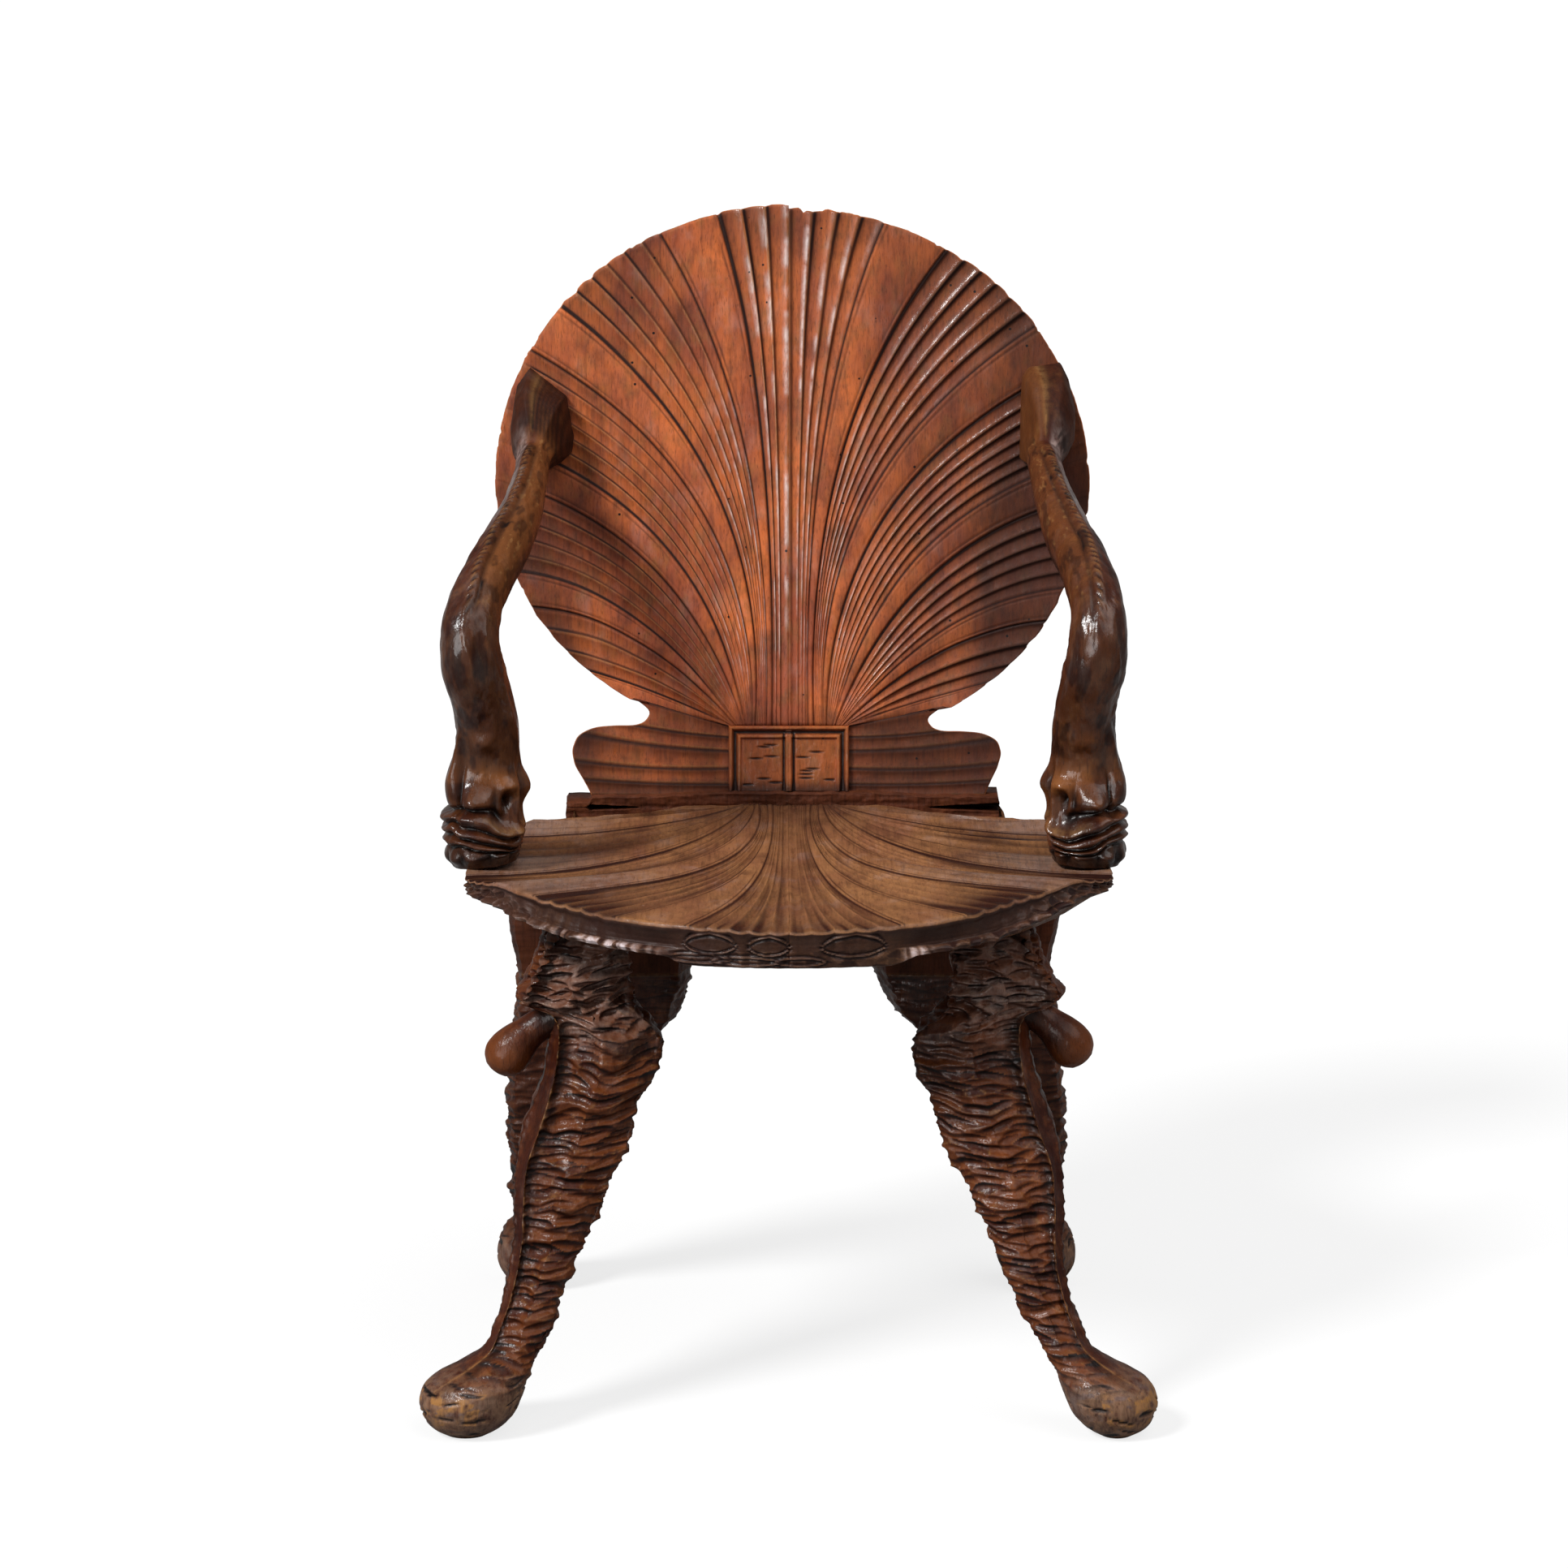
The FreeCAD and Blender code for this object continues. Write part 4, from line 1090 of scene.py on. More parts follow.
@dataclass(frozen=True)
class ShellSeat:
    """Scallop-shell seat in two boards, with a rocky rim and a carved apron. Sizes in mm."""

    hinge_y: float = 168.0  # Y of the fan's hinge
    top_z: float = 428.0  # Z of the rim's upper edge
    thickness: float = 26.0  # thickness of the boards
    apron_half: float = 92.0  # half width of the apron below the front rim
    rear_y: float = 210.6  # Y of the rear edge
    rear_sink: float = 10.0  # how far the strip before the rail is sunk at the sides
    rows: int = 130  # steps from hinge to rim

    # Rim profile at the sides and at the apron: outwards, down.
    RIM = (
        (0.9, 1), (0.8, 2), (-1.2, 3.6), (-3.6, 7), (-4.8, 10), (-4.2, 12.2), (-0.6, 13.6), (1, 15),
        (0.2, 17.5),
    )
    APRON = (
        (0.9, 1), (0.5, 2), (-0.6, 3.6), (-1.8, 7), (-2.2, 10), (-2.4, 12), (-2.6, 13.2), (-3.4, 19),
        (-4.8, 25.2),
    )
    WALL_STEPS = 46
    # The first two lines of the underside, at the sides and at the apron: outwards, down.
    UNDER = ((-12, 21), (-34, 26))
    APRON_UNDER = ((-6.5, 26), (-34, 26))
    UNDER_LINES = 14
    # Pointed ovals of the apron: X of the middle, half length, middle below the rim, half height.
    OVALS = (
        (-61.5, 20, 8.6, 6.6), (-16, 16, 9, 6.6), (50, 25, 9.4, 7.4), (-72, 26, 19.6, 3.6),
        (-34, 27, 20.6, 3.4), (8, 20, 20.6, 3.4),
    )
    ROCKS = Gouging(pitch_u=13.0, pitch_v=6.0, length=11.0, height=5.5, depth=4.2, lean=0.5)
    SAW_MARKS = Gouging(pitch_u=16.0, pitch_v=8.0, length=14.0, height=6.0, depth=1.4, lean=0.3)
    ANGLES = {
        Side.LEFT: (17, 32, 53, 70, 87, 99, 112, 124),
        Side.RIGHT: (19, 33, 55, 71, 88, 100, 113, 124),
    }
    # Rear corner of the boards from the fan's last line round to the rear edge: share, across, forward.
    REAR_CORNER = ((0.3, 200, 55), (0.45, 187, 42), (0.7, 183, 0), (1, 178, -44))

    def plan(self, side: Side) -> FanPlan:
        """The fan of one board."""
        return FanPlan(
            half_width=261.0, widest=250.0, far_reach=213.0, near_reach=345.0, hinge_half=40.0, hinge=0.0,
            hollow=9.0, counts=(5, 0, 5, 0, 4, 0, 3, 0), angles=self.ANGLES[side], flute_depth=3.2,
            line=0.6, gold=0.1, seed=41 + side.value, streak=0.3, per_band=44,
        )

    def place(self, side: Side, u: Array, v: Array, w: Array) -> Array:
        """World place of a point across, forward of the hinge and above the rim."""
        u, v, w = np.broadcast_arrays(u, v, w)
        return np.stack([side.value * u, self.hinge_y - v, self.top_z + w], axis=-1)

    def apron_share(self, rim: Array, angle: Array) -> Array:
        """Share of the apron at each line, 1 in the middle of the front and 0 at the sides."""
        return ease((self.apron_half + 10 - rim[:, 0]) / 20) * (angle < 90)

    def thinning(self, side: Side, angle: Array) -> Array:
        """How much thinner the rim grows towards the sides, by line."""
        return (1.2 + 0.2 * side.value) * ramp(angle, 38, 30)

    def top(self, side: Side) -> SeatTop:
        """Fluted top, its front rim raised and drawn in.

        Args:
            side: which board.

        Returns:
            The top, by line of the fan and by step from hinge to rim.
        """
        fan = self.plan(side)
        plan, height, paint = fan.carve(self.rows)
        angle, place, _, fluted = fan.columns()
        along = np.linspace(0, 1, self.rows)[None, :]
        outward = unit(plan[:, -1] - plan[:, -4])
        bulge = 0.8 * fluted * dome(place) + 0.8 * rough(fan.seed + 5, angle / 2)
        bulge = bulge * ease(angle / 1.5)
        front = ramp(angle, 88, -24)
        lift = (4 + side.value) * ramp(angle, 22, 30) * front
        crest = lift + (5 + 2.5 * ease(angle / 15)) * front
        tuck = (6 + 2 * side.value) * ramp(angle, 25, 25) * front
        inset = 8 * ramp(angle, 20, 25) * front
        shift = bulge[:, None] * ramp(along, 0.9, 0.1) - 0.9 * ramp(along, 0.97, 0.03)
        shift = shift - (tuck + inset)[:, None] * ramp(along, 0.5, 0.5)
        plan = plan + outward[:, None] * shift[..., None]
        height = height * (1 - 0.6 * ramp(along, 0.9, 0.1))
        height += crest[:, None] * ramp(along, 0.35, 0.65)
        return SeatTop(plan, outward, height, paint, angle, fluted, lift, inset)

    def wall(self, side: Side, top: SeatTop) -> SeatWall:
        """Edge below the rim: a plain fillet, rocky scoops, and outlined ovals on the apron.

        Args:
            side: which board.
            top: the board's top.

        Returns:
            The wall, by line of the fan and by step down.
        """
        rim = top.plan[:, -1]
        apron = self.apron_share(rim, top.angle)[:, None, None]
        profile = np.array(self.RIM) * (1 - apron) + np.array(self.APRON) * apron
        steps = np.linspace(0, profile.shape[1] - 1, self.WALL_STEPS)
        low = np.minimum(steps.astype(int), profile.shape[1] - 2)
        part = (steps - low)[None, :, None]
        profile = profile[:, low] * (1 - part) + profile[:, low + 1] * part
        push, drop = profile[..., 0], profile[..., 1]
        reach = np.broadcast_to(run_along(rim)[:, None], drop.shape)
        depth, arris, tone, _ = self.ROCKS.cut(reach, drop, self.plan(side).seed + 20)
        thin = self.thinning(side, top.angle)[:, None]
        stone = np.maximum(ramp(drop, 11.5, 2), np.minimum(thin, 1) * ramp(drop, 3, 2))
        bead = np.zeros(drop.shape)
        ring = np.zeros(drop.shape)
        for middle, half, below_rim, tall in self.OVALS:
            inside = 1 - ((side.value * rim[:, :1] - middle) / half) ** 2
            from_edge = np.abs(drop - below_rim) - tall * np.sign(inside) * np.abs(inside) ** 0.65
            bead = np.maximum(bead, bell(from_edge, 0.7))
            ring = np.maximum(ring, np.maximum(bell(from_edge - 1.5, 0.7), bell(from_edge + 1.4, 0.6)))
        carved = apron[..., 0] * ramp(drop, 1.8, 1.2)
        push = push - stone * (depth - 1.6) * (1 - 0.75 * carved) + carved * (1.3 * bead - 1.6 * ring)
        push = push + top.inset[:, None] * ramp(drop, 1, 10)
        return SeatWall(push, drop * (1 - 0.42 * thin), stone, arris, tone, carved, bead, ring)

    def top_paint(self, top: SeatTop, rubbed: Array) -> Paint:
        """Paint of the top: painted shade at the hinge, darker sides, a rubbed rim, and painted sheen on
        the outer bands.

        Args:
            top: the board's top.
            rubbed: share of wear along the rim, by line.

        Returns:
            The paint, by line and by step.
        """
        along = np.linspace(0, 1, self.rows)[None, :]
        # Painted shade at the hinge under the back, and darker towards the sides.
        dusk = 0.32 * ramp(top.plan[..., 0], 80, 90) + 0.6 * ramp(along, 0.35, -0.35)
        shade = top.paint[DIRT_AND_SHADE] * (0.5 + 0.9 * ramp(along, 0.05, 0.5)) + dusk
        worn = top.paint[WORN] + 0.25 * rubbed * ramp(along, 0.965, 0.035)
        paint = flat_paint(top.height.shape, held(shade), held(worn))
        paint[TONE] += 0.25 * ramp(along, 0.5, 0.5)
        # Painted sheen on the outer flat bands.
        bands = (1 - top.fluted) * ramp(top.angle, 35, 30)
        paint[BLOOM_AND_SHEEN] = 0.19 * bands[:, None] * ramp(along, 0.5, 0.4)
        return paint

    def wall_paint(self, side: Side, top: SeatTop, wall: SeatWall, rubbed: Array) -> Paint:
        """Paint of the wall: dark below the rubbed rim, with painted shade and highlights on the ovals,
        and painted glints on the rocky edge in two places.

        Args:
            side: which board.
            top: the board's top.
            wall: its wall.
            rubbed: share of wear along the rim, by line.

        Returns:
            The paint, by line and by step.
        """
        rim = top.plan[:, -1]
        stony = held(1.05 - 0.25 * wall.arris - 0.25 * wall.tone)
        shade = 0.95 * ramp(wall.drop, 0.8, 0.7) * (1 - wall.stone) + wall.stone * stony
        # Painted shade in the grooves beside each oval's outline, and a painted highlight on its bead.
        shade = shade * (1 - 0.06 * wall.carved) + wall.carved * (0.6 * wall.ring - 0.3 * wall.bead)
        worn = 0.32 * rubbed * bell(wall.drop - 0.6, 0.6) + 0.08 * wall.carved * wall.bead
        facets = ramp(rough(self.plan(side).seed + 25, run_along(rim)[:, None] / 3.5), -0.25, 0.25)
        rocky = wall.stone * (1 - wall.carved)
        x = side.value * rim[:, :1]
        # Painted glints on the rocky edge in two places.
        glint = rocky * facets * (bell(x + 142, 34) + bell(x - 94, 14))
        paint = flat_paint(wall.drop.shape, held(shade) * (1 - glint), worn)
        # Painted sheen on the arrises of the lighter rocks, and a pale painted highlight on the ovals' beads.
        painted_sheen = rocky * ramp(wall.tone, 0.5, 0.2) * 0.5 * wall.arris
        paint[BLOOM_AND_SHEEN] = np.maximum(held(painted_sheen + glint), 0.05 + 0.15 * wall.carved * wall.bead)
        return paint

    def board(self, side: Side) -> Skin:
        """One board: fluted top, worn rim, plain fillet, rocky lower edge and underside.

        Args:
            side: which board.

        Returns:
            The closed skin.
        """
        top = self.top(side)
        wall = self.wall(side, top)
        rim, lift = top.plan[:, -1], top.lift[:, None]
        wall_plan = rim[:, None] + top.outward[:, None] * wall.push[..., None]
        wall_height = (top.height[:, -1:] - lift) * np.exp(-wall.drop / 4) + lift - wall.drop
        apron = self.apron_share(rim, top.angle)[:, None, None]
        below = np.array(self.UNDER) * (1 - apron) + np.array(self.APRON_UNDER) * apron
        lip = rim + top.outward * top.inset[:, None]
        lip = lip[:, None] + top.outward[:, None] * below[..., :1]
        inner = top.plan[:, np.linspace(self.rows * 0.86, 0, self.UNDER_LINES).astype(int)]
        lip_drop = below[..., 1].copy()
        lip_drop[:, :1] -= 6 * self.thinning(side, top.angle)[:, None] + lift
        inner_drop = np.full(inner.shape[:2], self.thickness)
        plan = np.hstack([top.plan, wall_plan, lip, inner])
        height = np.hstack([top.height, wall_height, -lip_drop, -inner_drop])
        rubbed = ramp(rough(self.plan(side).seed + 26, run_along(rim)[:, None] / 14), -0.2, 0.4)
        under_lines = lip_drop.shape[1] + inner_drop.shape[1]
        paint = [
            self.top_paint(top, rubbed),
            self.wall_paint(side, top, wall, rubbed),
            flat_paint((len(rim), under_lines), 0.35),
        ]
        return Skin.from_loops(self.place(side, plan[..., 0], plan[..., 1], height), stacked(paint))

    def rear_strip(self, side: Side) -> Skin:
        """Plain strip of the board behind the fan, from the last fan line back to the rear edge.

        Args:
            side: which board.

        Returns:
            The closed skin.
        """
        fan = self.plan(side)
        last = fan.trace(np.full(60, fan.angles[-1]), np.linspace(0, 1, 60))
        front = np.concatenate([np.stack([np.linspace(0, 45, 10), np.zeros(10)], axis=-1), last])
        corner = np.array([(0, *front[-1]), *self.REAR_CORNER])
        share = np.linspace(0, 1, 40)
        ends = through(corner[:, 0], corner[:, 1:], share)
        share = share[:, None]
        u = (front[:, 0] / front[-1, 0])[None, :] * ends[:, :1]
        rise = ramp(u, 60, 130)
        v = front[None, :, 1] * (1 - share) + np.minimum(share * (self.hinge_y - self.rear_y), 0)
        v = v * (1 - rise) + (v - v[:, -1:] + ends[:, 1:]) * rise
        depth, arris, _, _ = self.SAW_MARKS.cut(u, v, fan.seed + 30)
        sunk = self.rear_sink * ramp(u, 80, 70) * ease(share / 0.35)
        top = self.place(side, u, v, -0.8 - 0.6 * depth - sunk)
        wall = self.place(side, u[:, -1:] + 0.5, v[:, -1:], np.array([[-6, -14, -20]]))
        below = self.place(side, u, v, np.full_like(u, -self.thickness))[:, ::-1][:, [0, 12, 40, -1]]
        paint = [
            flat_paint(u.shape, 0.4 + 0.035 * sunk, 0.2 * arris),
            flat_paint(wall.shape[:2], 0.5),
            flat_paint(below.shape[:2], 0.4),
        ]
        return Skin.from_loops(np.hstack([top, wall, below]), stacked(paint))

    def dress(self, finish: Material) -> None:
        """Build both boards in place of their nodes.

        Args:
            finish: their material.
        """
        for side in Side:
            skin = Skin.joined([self.board(side), self.rear_strip(side)])
            show(skin, f"shell_seat_{side.word}", f"seat_{side.word}_board", finish)


@dataclass
class LegWork:
    """How a leg is carved, by section and by column; shares run from 0 to 1."""

    up: Array  # height
    across: Array  # distance round the section
    face: NDArray[np.int64]  # number of the face that each column lies on
    share: Array  # place of each column across its face
    rugged: Array  # share of the short scoops on the leg's top
    mask: Array  # weight of the ripples
    depth: Array  # depth of the ripple or scoop
    arris: Array  # nearness to an arris between two of them
    tone: Array  # the scoop's own tone
    level: Array  # place in the scoop, from -1 at its foot to 1 at its head
    sunk: Array  # depth of the broad ledges
    patch: Array  # the ledge's own tone
    chip: Array  # depth of the chips on the foot
    toed: Array  # share of chips
    foot: Array  # share of the club foot
    hip: Array  # share of the hip above the seam
    hood: Array  # share of the carved hood above the knob
    ridge: Array  # nearness to the ridge down the front edge


@dataclass(frozen=True)
class RockLeg:
    """Leg carved as rippled rock, with a ridge down its outer front edge and a club foot. Sizes in mm."""

    row: str  # word for front or rear in the node names
    # For each height, going up: Z, inner X, ridge X, outer X, carved Y, plain Y.
    stations: tuple[tuple[float, ...], ...]
    # For each height, going up: Z, middle X, middle Y, half width, half depth.
    foot: tuple[tuple[float, ...], ...]
    seam: float  # Z of the glue joint with the hip block
    ripple: tuple[float, ...]  # depth of the ripples on the seven faces, from the inner front corner round
    # For each height of the right-hand leg, going up: Z, shifts of its inner and outer edge.
    lopsided: tuple[tuple[float, float, float], ...]
    knob: bool  # whether a pear-shaped knob hangs from the outer side
    hip_ripple: float  # share of the ripples that goes on above the seam
    seed: int  # first of this leg's seeds
    step: float = 1.0  # height of one row of the mesh

    # Columns on each of the seven faces, and how far each bows out.
    COLUMNS = (36, 24, 12, 20, 22, 24, 26)
    BOWS = (3, -1.5, -2, -3.5, 3, 4, 3)
    # How far each corner of the leg is set back from its carved face, as a share of the depth.
    SETBACKS = (0.22, 0, 0.13, 0.07, 0.36, 1, 1)
    # Where the foot's oval has the corners, in degrees.
    CORNERS = (205, 258, 292, 318, 365, 425, 500, 565)
    # The carver's tools: long ripples, short scoops on the leg's top, broad ledges, and chips on the foot.
    RIPPLES = Gouging(pitch_u=23.0, pitch_v=6.4, length=21.0, height=4.6, depth=3.6, lean=0.16, skew=0.5)
    SCOOPS = Gouging(pitch_u=18.0, pitch_v=7.0, length=14.0, height=3.6, depth=4.4, lean=0.34, skew=0.6)
    LEDGES = Gouging(pitch_u=30.0, pitch_v=26.0, length=27.0, height=17.0, depth=4.0, lean=0.3)
    CHIPS = Gouging(pitch_u=25.0, pitch_v=8.5, length=15.0, height=2.2, depth=3.2, lean=0.3)
    # Height of the rounded toe and its rows; height at which the foot ends, and the span of its blending.
    TOE = 30.0
    TOE_ROWS = 24
    FOOT_TOP = 64.0
    FOOT_SPAN = 34.0
    # How much higher the right knob sits, and a knob's middle line from the leg outwards: X, Y, Z, radius.
    KNOB_LIFT = 7.0
    KNOB_PATH = (
        (172, -140, 327, 16), (186, -140, 324, 14.5), (198, -141, 318.5, 13.2), (208, -142, 311.5, 13.8),
        (216.5, -143, 304, 16.5), (223.5, -143, 296.3, 18.3), (229, -143, 289, 17.4),
        (233, -143, 283.5, 12.8), (235.2, -143, 280.5, 6.8), (236, -143, 279.4, 0.6),
    )

    def outline(self, side: Side, z: Array) -> Array:
        """Plain cross-sections: seven bowed faces, turning into an oval at the foot.

        Args:
            side: which leg.
            z: height of each section.

        Returns:
            X and Y by section and by column, before the left-hand leg is mirrored.
        """
        table = np.array(self.stations)
        inner, ridge, outer, carved, plain = through(table[:, 0], table[:, 1:], z).T
        uneven = np.array(self.lopsided) * (side is Side.RIGHT)
        shift_in, shift_out = through(np.array(self.lopsided)[:, 0], uneven[:, 1:], z).T
        inner, ridge, outer = inner + shift_in, ridge + shift_out, outer + shift_out
        depth = plain - carved
        wide = ridge - inner
        knots_x = [inner, inner + 0.55 * wide, inner + 0.86 * wide, ridge, outer, outer - 6, inner + 12]
        knots_y = [carved + share * depth for share in self.SETBACKS]
        knots = np.stack([np.stack(knots_x, axis=1), np.stack(knots_y, axis=1)], axis=-1)
        middle = knots.mean(axis=1)[:, None]
        club = np.array(self.foot)
        foot_x, foot_y, half_x, half_y = through(club[:, 0], club[:, 1:], z).T
        foot_x, half_x = foot_x + 0.5 * (shift_in + shift_out), half_x + 0.5 * (shift_out - shift_in)
        toes = ramp(z, 92, -34)[:, None, None]
        forward = np.sign(depth)[:, None]
        parts = []
        for face, count in enumerate(self.COLUMNS):
            share = (np.arange(count) / count)[None, :]
            start, stop = knots[:, face], knots[:, (face + 1) % 7]
            normal = np.stack([(stop - start)[:, 1], -(stop - start)[:, 0]], axis=-1)
            normal = unit(normal)
            normal = normal * np.sign(np.sum(normal * (start - middle[:, 0]), axis=1, keepdims=True))
            leg = start[:, None] * (1 - share)[..., None] + stop[:, None] * share[..., None]
            leg = leg + (4 * share * (1 - share) * self.BOWS[face])[..., None] * normal[:, None]
            turn = np.radians(self.CORNERS[face] * (1 - share) + self.CORNERS[face + 1] * share)
            oval_x = foot_x[:, None] + half_x[:, None] * np.cos(turn)
            oval_y = foot_y[:, None] + half_y[:, None] * np.sin(turn) * forward
            parts.append(leg * (1 - toes) + np.stack([oval_x, oval_y], axis=-1) * toes)
        return np.concatenate(parts, axis=1)

    def work(self, seed: int, z: Array, flat: Array) -> LegWork:
        """Lay the carver's tools over the plain sections.

        Args:
            seed: first of this leg's seeds.
            z: height of each section.
            flat: X and Y of the plain sections.

        Returns:
            The work, by section and by column.
        """
        across = np.cumsum(np.linalg.norm(flat - np.roll(flat, 1, axis=1), axis=2), axis=1)
        up = np.broadcast_to(z[:, None], across.shape)
        face = np.repeat(np.arange(len(self.COLUMNS)), self.COLUMNS)
        share = np.concatenate([np.arange(count) / count for count in self.COLUMNS])
        mask = np.array(self.ripple)[face]
        for _ in range(4):
            mask = (np.roll(mask, 1) + 2 * mask + np.roll(mask, -1)) / 4
        wave = up + 5 * noise(seed, across / 38, up / 60)
        wave = wave + 2 * noise(seed + 1, across / 14, up / 20)
        rugged = self.hip_ripple * ramp(up, 290, 45)
        long, short = self.RIPPLES.cut(across, wave, seed + 2), self.SCOOPS.cut(across, wave, seed + 32)
        depth, arris, tone, level = (below + (above - below) * rugged for below, above in zip(long, short))
        sunk, _, patch, _ = self.LEDGES.cut(across + 8 * noise(seed + 3, up / 30), wave, seed + 12)
        chip, _, chip_tone, _ = self.CHIPS.cut(across, up + 4 * noise(seed + 9, across / 15), seed + 22)
        toed = ramp(chip_tone, 0.2, 0.2) * ease(0.8 * noise(seed + 8, across / 40, up / 30) + 0.9)
        foot = ramp(up, self.FOOT_TOP, -self.FOOT_SPAN)
        hip = ramp(up - self.seam, -6, 8)
        hood = self.hip_ripple * ramp(up - self.seam, -14, 8)
        mask = mask * (1 - (1 - self.hip_ripple) * hip) + 0.9 * self.hip_ripple * hip * (face == 3)
        ridge = np.maximum(bell(share - 1, 0.10) * (face == 2), bell(share, 0.07) * (face == 3))
        ridge = ridge * (1 - foot) * (1 - 0.9 * hood)
        chips = np.clip(chip, 0, 3) * toed, toed
        ripples = rugged, mask, depth, arris, tone, level
        return LegWork(up, across, face, share, *ripples, sunk, patch, *chips, foot, hip, hood, ridge)

    def relief(self, seed: int, work: LegWork) -> Array:
        """Add up the tools' depths, the lumps and the ridge.

        Args:
            seed: first of this leg's seeds.
            work: how the leg is carved.

        Returns:
            How far each point stands out from the plain section; a cut is negative.
        """
        scooped = work.depth * (1 + 0.35 * work.rugged) + work.sunk * (1 + 0.6 * work.rugged) - 2.4
        cut = work.mask * scooped * (1 - work.foot) + work.foot * work.chip
        cut = cut + 0.5 * work.foot * rough(seed + 7, work.across / 10, work.up / 16)
        cut = cut * ramp(work.up, 2, 8)
        lumps = 2.6 * noise(seed + 4, work.up / 24, work.face * 3.7) * (work.face == 6) * (1 - work.foot)
        return -cut * (1 - 0.7 * work.ridge) + lumps + 0.6 * work.ridge * noise(seed + 6, work.up / 7)

    def paint(self, seed: int, work: LegWork) -> Paint:
        """Painted shadow under the overhangs and the seat, worn arrises, painted sheen on the top, and a pale
        scuffed foot.

        Args:
            seed: first of this leg's seeds.
            work: how the leg is carved.

        Returns:
            The paint, by section and by column.
        """
        up, face, foot, ridge = work.up, work.face, work.foot, work.ridge
        carved = held(work.mask) * (1 - foot)
        deep = held(work.depth / self.RIPPLES.depth)
        # Painted shadow under each scoop's overhanging head, darkest in dark-toned scoops; the arrises
        # outside it are lighter.
        under = ramp(work.level, 0.1, 0.6) * ramp(deep, -0.1, 0.4)
        slit = 0.3 + 0.85 * ramp(work.tone, 0.4, 0.3)
        shade = carved * held(0.1 + under * slit - 0.3 * work.arris * (1 - under))
        shade += foot * (0.16 + ramp(work.chip, 0.8, 0.7))
        # Painted shadow under the seat at the top of the leg.
        shade += 0.2 * self.hip_ripple * ramp(up, 372, 26)
        # Painted shade in the groove beside the ridge.
        shade += 0.6 * (1 - foot) * (1 - work.hood) * bell(work.share - 0.55, 0.5) * (face == 2)
        plain = 0.1 * (face == 3) + 0.35 * np.isin(face, (4, 5))
        shade += (1 - foot) * (1 - work.hood) * plain * (1 - 0.6 * ridge)
        shade += 0.3 * (1 - self.hip_ripple) * work.hip
        bare = ramp(rough(seed + 15, work.across / 13, up / 7), 0.02, 0.15) * np.isin(face, (1, 2, 3))
        bare = bare * foot * ramp(up, 48, -12) * ramp(up, 10, 10)
        joint = (1 - self.hip_ripple) * bell(up - self.seam, 1.3) * np.isin(face, (4, 5, 6))
        worn = carved * work.arris * ramp(work.level, 0.2, -0.5) * (0.06 + 0.42 * work.tone) + 0.5 * ridge
        worn += foot * 0.7 * work.toed * bell(work.chip - 0.35, 0.4) + 0.75 * bare + 0.6 * joint
        tone = carved * 0.35 * ramp(work.tone, 0.75, -0.4) * (1 - under)
        # Painted sheen on the lower, upward-facing part of the scoops at the top of the leg.
        painted_sheen = self.hip_ripple * carved * (1 - under) * (0.3 + 0.8 * work.patch)
        bloom = 0.55 * foot + painted_sheen * ramp(up, 290, 60) * (face < 3)
        values = {DIRT_AND_SHADE: shade, WORN: worn, TONE: tone, BLOOM_AND_SHEEN: bloom}
        return {kind: held(value) for kind, value in values.items()}

    def shank(self, side: Side, low: float, high: float) -> Skin:
        """Carved length of the leg: the plain sections cut back by ripples, ledges and lumps.

        Args:
            side: which leg.
            low: Z of its lower end.
            high: Z of its upper end.

        Returns:
            The closed skin.
        """
        seed = self.seed + 7 * side.value
        z = np.linspace(low, high, int((high - low) / self.step) + 1)
        if low == 0:
            toe = self.TOE * (1 - np.cos(np.linspace(0, math.pi / 2, self.TOE_ROWS)))
            start = toe[-1] + self.step
            z = np.concatenate([toe, np.linspace(start, high, int((high - start) / self.step) + 1)])
        flat = self.outline(side, z)
        chord = np.roll(flat, -1, axis=1) - np.roll(flat, 1, axis=1)
        normal = unit(np.stack([chord[..., 1], -chord[..., 0]], axis=-1))
        out = flat - flat.mean(axis=1, keepdims=True)
        normal = normal * np.sign(np.sum(normal * out, axis=(1, 2), keepdims=True))
        work = self.work(seed, z, flat)
        flat = flat + normal * self.relief(seed, work)[..., None]
        loops = np.concatenate([flat * [side.value, 1], work.up[..., None]], axis=2)
        return Skin.from_loops(loops, self.paint(seed, work))

    def knob_skin(self, side: Side) -> Skin:
        """Pear-shaped knob: circles along a short drooping path.

        Args:
            side: which leg.

        Returns:
            The closed skin.
        """
        table = np.array(self.KNOB_PATH)
        keys = run_along(table[:, :3])
        path = through(keys, table, np.linspace(0, keys[-1], 60))
        level = np.array([0, 1, 0])
        rise = np.cross(unit(np.gradient(path[:, :3], axis=0)), level)
        turn = np.linspace(0, 2 * math.pi, 64, endpoint=False)[None, :]
        radius = np.maximum(path[:, 3], 0.5)[:, None, None]
        round_path = np.cos(turn)[..., None] * level + np.sin(turn)[..., None] * rise[:, None]
        ring = path[:, None, :3] + radius * round_path
        ring[..., 0] *= side.value
        ring[..., 2] += self.KNOB_LIFT if side is Side.RIGHT else 0
        along = np.linspace(0, 1, len(path))[:, None]
        # Painted shade towards the knob's root under the hood, and round one side of it.
        shade = 0.5 * ramp(along, 0.5, -0.3) + 0.15 * (1 - np.cos(turn * 0.5))
        paint = flat_paint(ring.shape[:2], shade)
        paint[TONE] += 0.5 * ramp(along, 0.5, 0.3)
        return Skin.from_loops(ring, paint)

